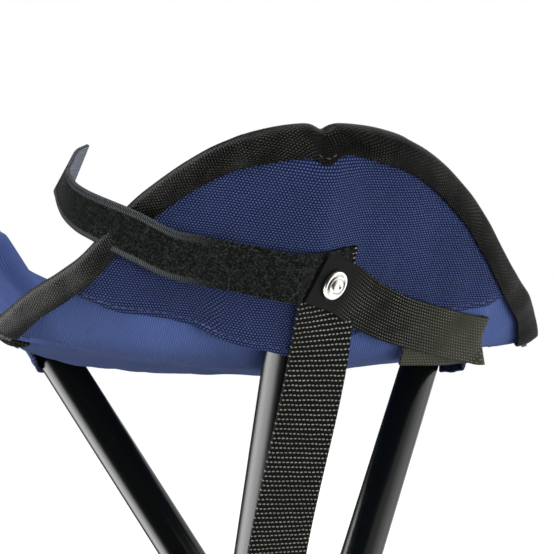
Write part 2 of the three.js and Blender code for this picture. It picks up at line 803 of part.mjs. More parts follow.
// The origin is under the middle of the stool's bounding box, on the floor.
const root = new THREE.Group();
root.add(stool);
const box = new THREE.Box3().setFromObject(root, true);
const centre = box.getCenter(new THREE.Vector3());
stool.position.set(-centre.x, -centre.y, -box.min.z);

export default root;
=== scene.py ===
# A three-legged folding stool, close to the near corner of its slack cloth seat.
# The frame gives the hub and the legs; the cloth, straps, stitches and finishes are made here.
import bpy
import json
import math
from mathutils import Matrix, Vector, noise


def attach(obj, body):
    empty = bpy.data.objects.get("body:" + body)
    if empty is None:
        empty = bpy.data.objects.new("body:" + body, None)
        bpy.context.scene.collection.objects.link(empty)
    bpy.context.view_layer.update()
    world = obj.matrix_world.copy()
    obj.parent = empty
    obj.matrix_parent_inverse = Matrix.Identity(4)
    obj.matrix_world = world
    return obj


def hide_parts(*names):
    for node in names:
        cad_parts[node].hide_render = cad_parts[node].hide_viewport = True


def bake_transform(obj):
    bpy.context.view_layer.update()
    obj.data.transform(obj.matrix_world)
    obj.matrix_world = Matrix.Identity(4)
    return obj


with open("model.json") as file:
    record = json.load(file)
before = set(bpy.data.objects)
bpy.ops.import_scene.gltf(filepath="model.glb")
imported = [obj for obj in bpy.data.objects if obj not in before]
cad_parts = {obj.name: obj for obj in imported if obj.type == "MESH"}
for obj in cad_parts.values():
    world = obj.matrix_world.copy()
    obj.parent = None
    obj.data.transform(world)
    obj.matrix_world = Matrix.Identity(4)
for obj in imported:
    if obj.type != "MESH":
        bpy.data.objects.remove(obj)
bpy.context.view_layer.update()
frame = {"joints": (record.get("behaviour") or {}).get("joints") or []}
print("frame loaded")

stand = {  # metres and degrees, as the frame has them
    "tilt": 32,
    "hubOffset": 0.0206,
    "upper": 0.276,
    "lower": 0.229,
    "tubeRadius": 0.0095,
}
hinges = {joint["child"]: Vector(joint["pos_m"]) for joint in frame["joints"]}
middle = (hinges["leg_a"] + hinges["leg_b"] + hinges["leg_c"]) / 3
tilt = math.radians(stand["tilt"])
hubHeight = stand["lower"] * math.cos(tilt)
tipHeight = hubHeight + stand["upper"] * math.cos(tilt)
tipReach = stand["upper"] * math.sin(tilt)
tipTurn = math.degrees(math.atan2(stand["hubOffset"], tipReach))


def thirdPlace(index):
    return Matrix.Translation((middle.x, middle.y, 0)) @ Matrix.Rotation(math.radians(-120 * index), 4, "Z")


def legPlace(index):  # +Z runs up the leg from its pivot, -Y is its outer side
    up = Matrix.Translation((-stand["hubOffset"], 0, hubHeight)) @ Matrix.Rotation(tilt, 4, "X")
    return thirdPlace(index) @ up


def clothPlace(index):  # the stool's middle line, at the height of the leg tips
    return thirdPlace(index) @ Matrix.Translation((0, 0, tipHeight))


# Camera and light

view = {
    "place": (-0.18423, -0.5705, 0.3396),  # from the stool's middle line
    "heading": -18.87,
    "pitch": 5.39,
    "roll": -2.41,
    "lens": 83.73,
}
cameraData = bpy.data.cameras.new("camera")
cameraData.lens = view["lens"]
cameraData.sensor_width = 36
cameraData.clip_start = 0.01
cameraData.dof.use_dof = False
camera = bpy.data.objects.new("camera", cameraData)
bpy.context.scene.collection.objects.link(camera)
camera.matrix_world = (
    Matrix.Translation(Vector(view["place"]) + Vector((middle.x, middle.y, 0)))
    @ Matrix.Rotation(math.radians(view["heading"]), 4, "Z")
    @ Matrix.Rotation(math.radians(90 + view["pitch"]), 4, "X")
    @ Matrix.Rotation(math.radians(view["roll"]), 4, "Z")
)
bpy.context.scene.camera = camera
bpy.context.scene.view_settings.view_transform = "Standard"

lamps = {  # place from the seat's middle, size, power, colour
    "keyLamp": ((-0.1, -1.3, 0.30), (1.0, 0.7), 4.2, (1, 0.99, 0.97)),
    "lowLamp": ((0.32, -1.1, -0.29), (1.2, 0.3), 11.0, (1, 1, 1)),
    "leftLamp": ((-1.3, -0.15, 0.45), (0.5, 0.9), 7.0, (1, 1, 1)),
    "rightLamp": ((1.2, -0.25, 0.35), (0.4, 0.9), 2.4, (1, 1, 0.98)),
    "topLamp": ((0.1, 0.3, 1.4), (1.0, 1.0), 11.0, (1, 1, 1)),
}
seatMiddle = Vector((middle.x, middle.y, tipHeight - 0.06))
for lampName, (place, size, power, colour) in lamps.items():
    lampData = bpy.data.lights.new(lampName, "AREA")
    lampData.shape = "RECTANGLE"
    lampData.size, lampData.size_y = size
    lampData.energy = power
    lampData.color = colour
    lamp = bpy.data.objects.new(lampName, lampData)
    bpy.context.scene.collection.objects.link(lamp)
    lamp.location = seatMiddle + Vector(place)
    lamp.rotation_euler = (-Vector(place)).to_track_quat("-Z", "Y").to_euler()
    lamp.visible_glossy = False  # gloss shows the panels of the surroundings below
print("camera and lamps placed")


# Working with nodes

def feed(tree, socket, value):
    if isinstance(value, bpy.types.NodeSocket):
        tree.links.new(value, socket)
    else:
        socket.default_value = value


def calc(tree, operation, *values):
    node = tree.nodes.new("ShaderNodeMath")
    node.operation = operation
    for socket, value in zip(node.inputs, values):
        feed(tree, socket, value)
    return node.outputs[0]


def product(tree, first, second):
    return calc(tree, "MULTIPLY", first, second)


def mixColour(tree, share, first, second):
    node = tree.nodes.new("ShaderNodeMix")
    node.data_type = "RGBA"
    feed(tree, node.inputs["Factor"], share)
    feed(tree, node.inputs[6], first)
    feed(tree, node.inputs[7], second)
    return node.outputs[2]


def darker(colour, share):
    return tuple(part * share for part in colour[:3]) + (1,)


def toned(tree, share, colour, low, high):  # between a darker and a lighter form of one colour
    return mixColour(tree, share, darker(colour, low), darker(colour, high))


def ramp(tree, value, low, high):  # a smooth rise from 0 at low to 1 at high
    node = tree.nodes.new("ShaderNodeMapRange")
    node.interpolation_type = "SMOOTHSTEP"
    node.inputs["From Min"].default_value = low
    node.inputs["From Max"].default_value = high
    feed(tree, node.inputs["Value"], value)
    return node.outputs["Result"]


def noiseField(tree, vector, scale, detail=3, rough=0.55):
    node = tree.nodes.new("ShaderNodeTexNoise")
    node.inputs["Detail"].default_value = detail
    node.inputs["Roughness"].default_value = rough
    feed(tree, node.inputs["Scale"], scale)
    tree.links.new(vector, node.inputs["Vector"])
    return node.outputs["Fac"]


def stretched(tree, vector, scale, turn=0):
    node = tree.nodes.new("ShaderNodeMapping")
    node.inputs["Scale"].default_value = scale
    node.inputs["Rotation"].default_value = (0, 0, math.radians(turn))
    tree.links.new(vector, node.inputs["Vector"])
    return node.outputs["Vector"]


def coordinates(tree, kind):
    return tree.nodes.new("ShaderNodeTexCoord").outputs[kind]


def axesOf(tree, vector):
    node = tree.nodes.new("ShaderNodeSeparateXYZ")
    tree.links.new(vector, node.inputs[0])
    return node.outputs


def newGroup(name, inputs, outputs):  # inputs are names with their usual values
    group = bpy.data.node_groups.new(name, "ShaderNodeTree")
    group.interface.new_socket("Vector", in_out="INPUT", socket_type="NodeSocketVector")
    for label, value in inputs.items():
        socket = group.interface.new_socket(label, in_out="INPUT", socket_type="NodeSocketFloat")
        socket.default_value = value
    for label in outputs:
        group.interface.new_socket(label, in_out="OUTPUT", socket_type="NodeSocketFloat")
    return group, group.nodes.new("NodeGroupInput").outputs, group.nodes.new("NodeGroupOutput").inputs


def useGroup(tree, group, vector, **values):
    node = tree.nodes.new("ShaderNodeGroup")
    node.node_tree = group
    tree.links.new(vector, node.inputs["Vector"])
    for label, value in values.items():
        feed(tree, node.inputs[label], value)
    return node.outputs


def threadDots():  # small oval floats of thread in rows, every other row half a step along
    group, given, put = newGroup(
        "threadDots", {"Across": 0.002, "Along": 0.002, "Width": 0.3, "Length": 0.3, "Stagger": 0.5},
        ("Mask", "Height"),
    )
    wobble = noiseField(group, given["Vector"], 260, 2)
    axes = axesOf(group, given["Vector"])
    rows = calc(group, "DIVIDE", axes["Y"], given["Along"])
    rows = calc(group, "ADD", rows, product(group, wobble, 0.35))
    odd = calc(group, "MODULO", calc(group, "ABSOLUTE", calc(group, "FLOOR", rows)), 2.0)
    columns = calc(group, "DIVIDE", axes["X"], given["Across"])
    columns = calc(group, "ADD", columns, product(group, odd, given["Stagger"]))
    columns = calc(group, "ADD", columns, product(group, wobble, 0.3))
    squares = []
    for place, size in ((columns, "Width"), (rows, "Length")):
        inCell = calc(group, "SUBTRACT", calc(group, "FRACT", place), 0.5)
        share = calc(group, "DIVIDE", inCell, given[size])
        squares.append(product(group, share, share))
    off = calc(group, "ADD", *squares)
    group.links.new(ramp(group, off, 1.15, 0.45), put["Mask"])
    group.links.new(ramp(group, off, 1.6, 0.0), put["Height"])
    return group


def fineRibs():  # close parallel threads with a little unevenness
    group, given, put = newGroup("fineRibs", {"Pitch": 0.0006, "Cross": 0.4}, ("Height",))
    axes = axesOf(group, given["Vector"])
    fullCircle = 6.2832
    ribs, crossed = [
        calc(group, "SINE", calc(group, "DIVIDE", product(group, axes[axis], fullCircle), given["Pitch"]))
        for axis in "XY"
    ]
    both = calc(group, "ADD", ribs, product(group, product(group, ribs, crossed), given["Cross"]))
    group.links.new(calc(group, "MULTIPLY_ADD", both, 0.35, 0.5), put["Height"])
    return group


def useMarks():  # slow changes of tone with a few paler rubbed places
    group, given, put = newGroup("useMarks", {"Scale": 30.0}, ("Tone", "Rubbed"))
    slow = noiseField(group, given["Vector"], given["Scale"], 5, 0.5)
    quick = noiseField(group, given["Vector"], product(group, given["Scale"], 5.3), 6, 0.7)
    group.links.new(slow, put["Tone"])
    group.links.new(ramp(group, quick, 0.56, 0.74), put["Rubbed"])
    return group


dotsGroup = threadDots()
ribsGroup = fineRibs()
marksGroup = useMarks()


# Materials

def newMaterial(name, kind, roughness, metallic=0.0, **sockets):
    material = bpy.data.materials.new(name)
    material.use_nodes = True
    tree = material.node_tree
    shader = tree.nodes["Principled BSDF"]
    shader.inputs["Roughness"].default_value = roughness
    shader.inputs["Metallic"].default_value = metallic
    for label, value in sockets.items():
        shader.inputs[label.replace("_", " ")].default_value = value
    return material, tree, coordinates(tree, kind)


def finished(material, colour, height, distance, strength=1, roughness=None):
    tree = material.node_tree
    shader = tree.nodes["Principled BSDF"]
    tree.links.new(colour, shader.inputs["Base Color"])
    if roughness is not None:
        tree.links.new(roughness, shader.inputs["Roughness"])
    bump = tree.nodes.new("ShaderNodeBump")
    bump.inputs["Distance"].default_value = distance
    bump.inputs["Strength"].default_value = strength
    tree.links.new(height, bump.inputs["Height"])
    tree.links.new(bump.outputs["Normal"], shader.inputs["Normal"])
    return material


def seatClothMaterial():
    finish = {"colour": (0.128, 0.196, 0.50, 1), "rubbed": (0.22, 0.29, 0.58, 1), "rib": 0.00092}
    material, tree, cloth = newMaterial("seatCloth", "UV", 0.85, Sheen_Weight=0.05, Specular_IOR_Level=0.05)
    ribs = useGroup(tree, ribsGroup, cloth, Pitch=finish["rib"], Cross=0.5)["Height"]
    marks = useGroup(tree, marksGroup, cloth, Scale=26.0)
    raised = toned(tree, marks["Tone"], finish["colour"], 0.74, 1.16)
    threads = mixColour(tree, ramp(tree, ribs, 0.2, 0.8), darker(finish["colour"], 0.62), raised)
    worn = mixColour(tree, product(tree, marks["Rubbed"], 0.22), threads, finish["rubbed"])
    return finished(material, worn, ribs, 0.00022, 0.9)


def pocketClothMaterial():
    finish = {
        "colour": (0.0104, 0.0162, 0.060, 1), "dot": (0.112, 0.158, 0.345, 1),
        "weave": {"Across": 0.00112, "Along": 0.001008, "Width": 0.34, "Length": 0.34},
    }
    material, tree, cloth = newMaterial("pocketCloth", "UV", 0.8, Sheen_Weight=0.05, Specular_IOR_Level=0.06)
    dots = useGroup(tree, dotsGroup, cloth, **finish["weave"])
    tone = useGroup(tree, marksGroup, cloth, Scale=24.0)["Tone"]
    ground = toned(tree, tone, finish["colour"], 0.7, 1.5)
    dotTone = toned(tree, tone, finish["dot"], 0.65, 1.15)
    threads = mixColour(tree, product(tree, dots["Mask"], 0.9), ground, dotTone)
    return finished(material, threads, dots["Height"], 0.00028, 0.8)


def bindingMaterial():
    finish = {
        "colour": (0.0026, 0.0027, 0.0024, 1), "speck": (0.085, 0.085, 0.068, 1), "slant": 24,
        "weave": {"Across": 0.00130, "Along": 0.00091, "Width": 0.32, "Length": 0.38},
    }
    material, tree, cloth = newMaterial("binding", "UV", 0.36, Specular_IOR_Level=0.07)
    dots = useGroup(tree, dotsGroup, stretched(tree, cloth, (1, 1, 1), finish["slant"]), **finish["weave"])
    tone = useGroup(tree, marksGroup, cloth, Scale=70.0)["Tone"]
    ground = toned(tree, tone, finish["colour"], 0.7, 1.9)
    patchy = product(tree, dots["Mask"], ramp(tree, tone, 0.38, 0.70))
    threads = mixColour(tree, product(tree, patchy, 0.8), ground, finish["speck"])
    return finished(material, threads, dots["Height"], 0.0007)


def webbingMaterial():
    finish = {
        "colour": (0.0042, 0.0044, 0.0042, 1), "dot": (0.50, 0.50, 0.44, 1),
        "weave": {"Across": 0.00170, "Along": 0.00205, "Width": 0.36, "Length": 0.17},
    }
    material, tree, cloth = newMaterial("carryWebbing", "UV", 0.55, Specular_IOR_Level=0.03)
    dots = useGroup(tree, dotsGroup, cloth, **finish["weave"])
    ribs = useGroup(tree, ribsGroup, cloth, Pitch=0.0007, Cross=0.7)["Height"]
    tone = useGroup(tree, marksGroup, cloth, Scale=55.0)["Tone"]
    ground = toned(tree, ribs, finish["colour"], 0.4, 2.0)
    threads = mixColour(tree, dots["Mask"], ground, toned(tree, tone, finish["dot"], 0.35, 1.1))
    height = calc(tree, "ADD", dots["Height"], product(tree, ribs, 0.35))
    return finished(material, threads, height, 0.0004, 0.9)


def loopMaterial():
    finish = {
        "colour": (0.0040, 0.0050, 0.0042, 1), "hair": (0.075, 0.090, 0.080, 1), "edge": (0.17, 0.185, 0.195, 1),
        "edgeFrom": (0.0066, 0.0074), "edgeLitFrom": (0.052, 0.084),  # across and along the strap; along it the pale selvedge is painted as lit only towards the far end, and left dark as painted shade nearer the rivet
        "ticks": {"Across": 0.0007, "Along": 0.0030, "Width": 0.34, "Length": 0.62},
    }
    material, tree, cloth = newMaterial("loopPile", "UV", 0.9, Sheen_Weight=0.05, Specular_IOR_Level=0.02)
    axes = axesOf(tree, cloth)
    pile = noiseField(tree, cloth, 1150, 3, 0.8)
    curls = noiseField(tree, cloth, 420, 3, 0.6)
    hairs = ramp(tree, calc(tree, "MULTIPLY_ADD", pile, 0.72, product(tree, curls, 0.28)), 0.46, 0.66)
    base = mixColour(tree, hairs, finish["colour"], finish["hair"])
    side = ramp(tree, calc(tree, "ABSOLUTE", axes["Y"]), *finish["edgeFrom"])
    # painted light: the pale selvedge shows only towards the strap's far end, where its edges catch the light; nearer
    # the rivet the dark pile colour stands in for shade
    litSelvedge = product(tree, side, ramp(tree, axes["X"], *finish["edgeLitFrom"]))
    ticks = useGroup(tree, dotsGroup, cloth, **finish["ticks"])
    edge = mixColour(tree, ticks["Mask"], darker(finish["edge"], 0.12), finish["edge"])
    fuzzy = product(tree, hairs, calc(tree, "SUBTRACT", 1.0, litSelvedge))
    height = calc(tree, "ADD", fuzzy, product(tree, ticks["Height"], litSelvedge))
    return finished(material, mixColour(tree, litSelvedge, base, edge), height, 0.0006)


def strapBackMaterial():
    finish = {
        "colour": (0.36, 0.37, 0.38, 1), "dot": (0.62, 0.63, 0.64, 1),
        "weave": {"Across": 0.0009, "Along": 0.0012, "Width": 0.36, "Length": 0.3},
    }
    material, tree, cloth = newMaterial("strapBack", "UV", 0.7, Specular_IOR_Level=0.04)
    dots = useGroup(tree, dotsGroup, cloth, **finish["weave"])
    tone = useGroup(tree, marksGroup, cloth, Scale=60.0)["Tone"]
    threads = mixColour(tree, dots["Mask"], finish["colour"], finish["dot"])
    mixed = mixColour(tree, tone, darker(finish["colour"], 0.8), threads)
    return finished(material, mixed, dots["Height"], 0.00025, 0.8)


def hookMaterial():
    finish = {
        "colour": (0.0055, 0.006, 0.0056, 1), "dot": (0.20, 0.20, 0.165, 1), "far": (0.085, 0.088, 0.066, 1),
        "weave": {"Across": 0.00125, "Along": 0.00125, "Width": 0.27, "Length": 0.26},
        "wovenFrom": (0.016, 0.034),  # the patch under the rivet is flat and plain
        "fadedFrom": (0.045, 0.095),
    }
    material, tree, cloth = newMaterial("hookWebbing", "UV", 0.5, Specular_IOR_Level=0.03)
    along = axesOf(tree, cloth)["X"]
    dots = useGroup(tree, dotsGroup, cloth, **finish["weave"])
    ribs = useGroup(tree, ribsGroup, cloth, Pitch=0.0006, Cross=0.8)["Height"]
    tone = useGroup(tree, marksGroup, cloth, Scale=60.0)["Tone"]
    woven = ramp(tree, along, *finish["wovenFrom"])
    faded = ramp(tree, along, *finish["fadedFrom"])
    ground = toned(tree, ribs, finish["colour"], 0.7, 2.2)
    tinted = mixColour(tree, product(tree, faded, 0.65), ground, finish["far"])
    seen = product(tree, product(tree, dots["Mask"], woven), ramp(tree, tone, 0.25, 0.6))
    height = product(tree, dots["Height"], calc(tree, "MULTIPLY_ADD", woven, 0.9, 0.1))
    return finished(material, mixColour(tree, seen, tinted, finish["dot"]), height, 0.00045, 0.9)


def threadMaterial(name, colour):
    material, tree, place = newMaterial(name, "Object", 0.6, Sheen_Weight=0.3)
    tone = useGroup(tree, marksGroup, place, Scale=300.0)["Tone"]
    return finished(material, toned(tree, tone, colour, 0.6, 1.4), noiseField(tree, place, 5200, 2), 0.00008, 0.7)


def enamelMaterial():
    finish = {"colour": (0.0035, 0.0045, 0.0040, 1), "scuff": (0.03, 0.032, 0.03, 1)}
    material, tree, place = newMaterial("blackEnamel", "Object", 0.2, Specular_IOR_Level=0.26)
    marks = useGroup(tree, marksGroup, place, Scale=38.0)
    streaks = noiseField(tree, stretched(tree, place, (420, 420, 30)), 1.0, 4, 0.7)
    scuffed = product(tree, marks["Rubbed"], ramp(tree, streaks, 0.55, 0.75))
    colour = mixColour(tree, scuffed, finish["colour"], finish["scuff"])
    plain = calc(tree, "MULTIPLY_ADD", marks["Tone"], 0.10, 0.17)
    roughness = calc(tree, "MULTIPLY_ADD", scuffed, 0.28, plain)
    return finished(material, colour, noiseField(tree, place, 420, 2), 0.00004, 0.5, roughness)


def plasticMaterial():
    finish = {"colour": (0.014, 0.0145, 0.0145, 1), "pale": (0.045, 0.046, 0.046, 1)}
    material, tree, place = newMaterial("blackPlastic", "Object", 0.5)
    marks = useGroup(tree, marksGroup, place, Scale=60.0)
    colour = mixColour(tree, marks["Rubbed"], finish["colour"], finish["pale"])
    roughness = calc(tree, "MULTIPLY_ADD", marks["Tone"], 0.25, 0.35)
    return finished(material, colour, noiseField(tree, place, 2600, 3), 0.00006, 0.6, roughness)


def rubberMaterial():
    finish = {"colour": (0.013, 0.013, 0.013, 1), "dust": (0.09, 0.085, 0.078, 1), "dustUpTo": (0.014, 0.001)}
    material, tree, place = newMaterial("footRubber", "Object", 0.8)
    tone = useGroup(tree, marksGroup, place, Scale=90.0)["Tone"]
    low = ramp(tree, axesOf(tree, place)["Z"], *finish["dustUpTo"])  # dust gathers at the floor
    dusty = product(tree, calc(tree, "ADD", product(tree, low, 0.6), 0.15), tone)
    colour = mixColour(tree, dusty, finish["colour"], finish["dust"])
    roughness = calc(tree, "MULTIPLY_ADD", tone, 0.2, 0.65)
    return finished(material, colour, noiseField(tree, place, 1800, 4, 0.7), 0.00012, 0.7, roughness)


def metalMaterial(name, colour, tarnish, roughness, brushed):
    material, tree, place = newMaterial(name, "Object", roughness, 1.0)
    marks = useGroup(tree, marksGroup, place, Scale=160.0)
    dulled = mixColour(tree, product(tree, marks["Rubbed"], 0.7), colour, tarnish)
    uneven = calc(tree, "MULTIPLY_ADD", marks["Tone"], 0.22, roughness - 0.08)
    return finished(material, dulled, noiseField(tree, place, brushed, 3), 0.00003, 0.6, uneven)


seatCloth = seatClothMaterial()
pocketCloth = pocketClothMaterial()
binding = bindingMaterial()
carryWebbing = webbingMaterial()
loopPile = loopMaterial()
strapBack = strapBackMaterial()
hookWebbing = hookMaterial()
darkThread = threadMaterial("darkThread", (0.028, 0.028, 0.026, 1))
blueThread = threadMaterial("blueThread", (0.06, 0.085, 0.24, 1))
blackEnamel = enamelMaterial()
blackPlastic = plasticMaterial()
footRubber = rubberMaterial()
platedSteel = metalMaterial("platedSteel", (0.56, 0.57, 0.56, 1), (0.34, 0.33, 0.30, 1), 0.34, 900)
brightNickel = metalMaterial("brightNickel", (0.74, 0.72, 0.68, 1), (0.40, 0.37, 0.33, 1), 0.3, 700)
print("materials made")


# Working with meshes

def deselect():
    if bpy.context.object and bpy.context.object.mode != "OBJECT":
        bpy.ops.object.mode_set(mode="OBJECT")
    bpy.ops.object.select_all(action="DESELECT")


def pick(piece):
    deselect()
    piece.select_set(True)
    bpy.context.view_layer.objects.active = piece


def applied(piece, kind, **settings):
    modifier = piece.modifiers.new(kind.lower(), kind)
    for label, value in settings.items():
        setattr(modifier, label, value)
    pick(piece)
    bpy.ops.object.modifier_apply(modifier=modifier.name)


def smoothed(piece, angle=35):
    pick(piece)
    bpy.ops.object.shade_smooth_by_angle(angle=math.radians(angle))
    deselect()


def named(piece, name, *materials):
    piece.name = piece.data.name = name
    for material in materials:
        piece.data.materials.append(material)
    return piece


def copied(piece, name, place):
    twin = piece.copy()
    twin.data = piece.data.copy()
    bpy.context.scene.collection.objects.link(twin)
    twin.data.transform(place)
    twin.name = twin.data.name = name
    return twin


def joined(pieces, name):
    deselect()
    for piece in pieces:
        piece.select_set(True)
    bpy.context.view_layer.objects.active = pieces[0]
    if len(pieces) > 1:
        bpy.ops.object.join()
    deselect()
    return named(pieces[0], name)


def editAll(piece):
    pick(piece)
    bpy.ops.object.mode_set(mode="EDIT")
    bpy.ops.mesh.select_all(action="SELECT")


def facedOut(piece):
    editAll(piece)
    bpy.ops.mesh.remove_doubles(threshold=1e-6)
    bpy.ops.mesh.normals_make_consistent(inside=False)
    bpy.ops.object.mode_set(mode="OBJECT")


def inMillimetres(profile):
    return [(radius / 1000, height / 1000) for radius, height in profile]


def turnedPiece(name, profile, sides=48):  # radius and height pairs, from the lowest up
    rings = [pair for pair in profile if pair[0] > 0]
    bottom = "NGON" if profile[0][0] == 0 else "NOTHING"
    radius, height = rings[0]
    deselect()
    bpy.ops.mesh.primitive_circle_add(vertices=sides, radius=radius, location=(0, 0, 0), fill_type=bottom)
    piece = bpy.context.object
    piece.data.transform(Matrix.Translation((0, 0, height)))
    editAll(piece)
    for nextRadius, nextHeight in rings[1:]:
        bpy.ops.mesh.extrude_region_move(TRANSFORM_OT_translate={"value": (0, 0, nextHeight - height)})
        wider = nextRadius / radius
        bpy.ops.transform.resize(value=(wider, wider, 1), center_override=(0, 0, nextHeight))
        radius, height = nextRadius, nextHeight
    if profile[-1][0] == 0:
        bpy.ops.mesh.extrude_region_move(TRANSFORM_OT_translate={"value": (0, 0, profile[-1][1] - height)})
        bpy.ops.mesh.merge(type="CENTER")
    facedOut(piece)
    return named(piece, name)


def shapedWith(piece, operation, tool):  # cuts, joins or keeps what both share, and takes the tool away
    applied(piece, "BOOLEAN", object=tool, operation=operation, solver="EXACT")
    bpy.data.objects.remove(tool)


def onBody(piece, body, node):
    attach(piece, body)
    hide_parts(node)


def clothGrid(name, grid, flatPlaces):  # grid is rows of points, flatPlaces where each lay in the flat cloth
    rows, columns = len(grid) - 1, len(grid[0]) - 1
    deselect()
    bpy.ops.mesh.primitive_grid_add(x_subdivisions=columns, y_subdivisions=rows, size=2, location=(0, 0, 0))
    cloth = bpy.context.object
    flat = []
    for vertex in cloth.data.vertices:
        column = round((vertex.co.x + 1) / 2 * columns)
        row = round((1 - vertex.co.y) / 2 * rows)
        vertex.co = grid[row][column]
        flat.append(flatPlaces[row][column])
    layer = cloth.data.uv_layers.active
    for loop in cloth.data.loops:
        layer.data[loop.index].uv = flat[loop.vertex_index]
    return named(cloth, name)


def flatByLength(grid):  # across from the middle column and down from the first row, in metres
    rows, columns = len(grid), len(grid[0])
    half = columns // 2
    down = [[0.0] * columns for _ in grid]
    for row in range(1, rows):
        for column in range(columns):
            down[row][column] = down[row - 1][column] + (grid[row][column] - grid[row - 1][column]).length
    places = []
    for row in range(rows):
        across = [0.0] * columns
        for column in range(half + 1, columns):
            across[column] = across[column - 1] + (grid[row][column] - grid[row][column - 1]).length
        for column in range(half - 1, -1, -1):
            across[column] = across[column + 1] - (grid[row][column] - grid[row][column + 1]).length
        places.append([(across[column], down[row][column]) for column in range(columns)])
    return places


def offsetGrid(grid, distance):  # along the grid's own normals, which point out of the stool
    rows, columns = len(grid), len(grid[0])
    moved = []
    for row in range(rows):
        line = []
        for column in range(columns):
            along = grid[row][min(column + 1, columns - 1)] - grid[row][max(column - 1, 0)]
            down = grid[min(row + 1, rows - 1)][column] - grid[max(row - 1, 0)][column]
            line.append(grid[row][column] + down.cross(along).normalized() * distance(row, column))
        moved.append(line)
    return moved


def smooth(value):
    share = min(1.0, max(0.0, value))
    return share * share * (3 - 2 * share)


def fadeIn(value, start, span):
    return smooth((value - start) / span)


def hump(share, peak):
    return smooth(share / peak) if share < peak else smooth((1 - share) / (1 - peak))


def bell(value, width):
    return math.exp(-(value / width) ** 2)


# The cloth's form

clothForm = {  # heights and drops are from the leg tips, turns from the leg in degrees
    "thickness": 0.0012, "gap": 0.0003, "ease": 0.0005,
    "rimReach": 0.1495, "rimRise": 0.0066, "rimDrop": 0.0685,
    "notch": 0.0017, "notchWidth": 0.0034,  # the dip in the rim over the leg
    "creaseReach": 0.087, "creaseCurve": 1.6, "creaseRise": 2.2, "endWall": 0.013, "endFall": 0.002,
    "middleDrop": 0.077, "endReachSkew": 0.0047, "endDropSkew": 0.0052, "bulge": 0.003,
    "seatTents": {"a": 26, "b": 62, "c": 30},  # how steeply the cloth leaves the tube on both sides
    "pocketTent": 24, "tentReach": 0.028, "domeDepth": 0.015,
    "rollRadius": 0.0052, "rollTurn": math.pi * 0.92, "rollFrom": (0.03, 0.09), "rollEnd": 0.3,
    "rightFallFrom": (0.45, 0.55), "evenOverLeg": (0.012, 0.02), "evenAtEnds": (50, 9),
    "turnShares": (0, 0.2, 0.417, 0.633, 0.833, 1),
    "reachShares": (1, 1.013, 0.954, 0.911, 0.889, 0.88),
    "dropShares": (0, 0.077, 0.304, 0.644, 0.823, 1),
}
petals = {  # how the left half of each rim hangs and is rolled outwards, the right end's fall, the crease's depth
    "a": {
        "fall": 0.0, "pull": 0.0, "peak": 0.5, "endFall": 0.0, "endPull": 0.0,
        "roll": 0.0, "rightFall": 0.0, "crease": 0.0795,
    },
    "b": {
        "fall": 0.0040, "pull": 0.004, "peak": 0.25, "endFall": 0.0, "endPull": 0.0,
        "roll": 0.021, "rightFall": -0.007, "crease": 0.0705,
    },
    "c": {
        "fall": 0.022, "pull": 0.026, "peak": 0.36, "endFall": 0.009, "endPull": 0.024,
        "roll": 0.0, "rightFall": 0.0, "crease": 0.0630,
    },
}
halfPetal = 60.0
clothWall = clothForm["thickness"]
legOut = Vector((0, -math.cos(tilt), -math.sin(tilt)))
legUp = Vector((0, -math.sin(tilt), math.cos(tilt)))
legTip = Vector((-stand["hubOffset"], -tipReach, 0))


def through(stations, values, at):  # a smooth curve through a table's values
    last = len(stations) - 1
    low = 0
    while low < last - 1 and at > stations[low + 1]:
        low += 1

    def slope(index):
        if index <= 0:
            return 0
        if index >= last:
            return (values[last] - values[last - 1]) / (stations[last] - stations[last - 1])
        return (values[index + 1] - values[index - 1]) / (stations[index + 1] - stations[index - 1])

    span = stations[low + 1] - stations[low]
    t = min(1, max(0, (at - stations[low]) / span))
    rise = values[low + 1] - values[low]
    start, end = slope(low) * span, slope(low + 1) * span
    return values[low] + t * (start + t * (3 * rise - 2 * start - end + t * (start + end - 2 * rise)))


def polar(turn, reach, height):
    angle = math.radians(turn - tipTurn)
    return Vector((reach * math.sin(angle), -reach * math.cos(angle), height))


def arcAt(turn):  # metres along the rim from the leg
    return math.radians(turn) * clothForm["rimReach"]


rimKnown = {}


def rimAt(letter, turn):  # reach and height
    key = (letter, round(turn, 6))
    if key not in rimKnown:
        form, hang = clothForm, petals[letter]
        share = abs(turn) / halfPetal
        skew = math.copysign(share * share, turn)
        reach = form["rimReach"] * through(form["turnShares"], form["reachShares"], share) - form["endReachSkew"] * skew
        drop = form["rimDrop"] * through(form["turnShares"], form["dropShares"], share) + form["endDropSkew"] * skew
        drop += form["notch"] * bell(arcAt(turn), form["notchWidth"])
        if turn < 0:
            slack = hump(share, hang["peak"])
            reach -= hang["pull"] * slack + hang["endPull"] * smooth(share)
            drop += hang["fall"] * slack + hang["endFall"] * smooth(share)
        else:
            drop += hang["rightFall"] * fadeIn(share, *form["rightFallFrom"])
        rimKnown[key] = (reach, form["rimRise"] - drop)
    return rimKnown[key]


def creaseAt(letter, turn):
    form = clothForm
    share = abs(turn) / halfPetal
    endReach, endHeight = rimAt(letter, math.copysign(halfPetal, turn))
    endReach, endHeight = endReach - form["endWall"], endHeight - form["endFall"]
    reach = form["creaseReach"] + (endReach - form["creaseReach"]) * share ** form["creaseCurve"]
    depth = petals[letter]["crease"]
    height = -depth + (endHeight + depth) * share ** form["creaseRise"]
    return reach, height


def between(first, second, share):
    return tuple(a + (b - a) * share for a, b in zip(first, second))


def plainWall(letter, turn, share):
    reach, height = between(rimAt(letter, turn), creaseAt(letter, turn), share)
    reach += clothForm["bulge"] * math.sin(math.pi * share) * (1 - (turn / halfPetal) ** 2)
    return polar(turn, reach, height)


wallKnown = {}


def wallLength(letter, turn):
    key = (letter, round(turn, 6))
    if key not in wallKnown:
        wallKnown[key] = (plainWall(letter, turn, 0) - plainWall(letter, turn, 1)).length
    return wallKnown[key]


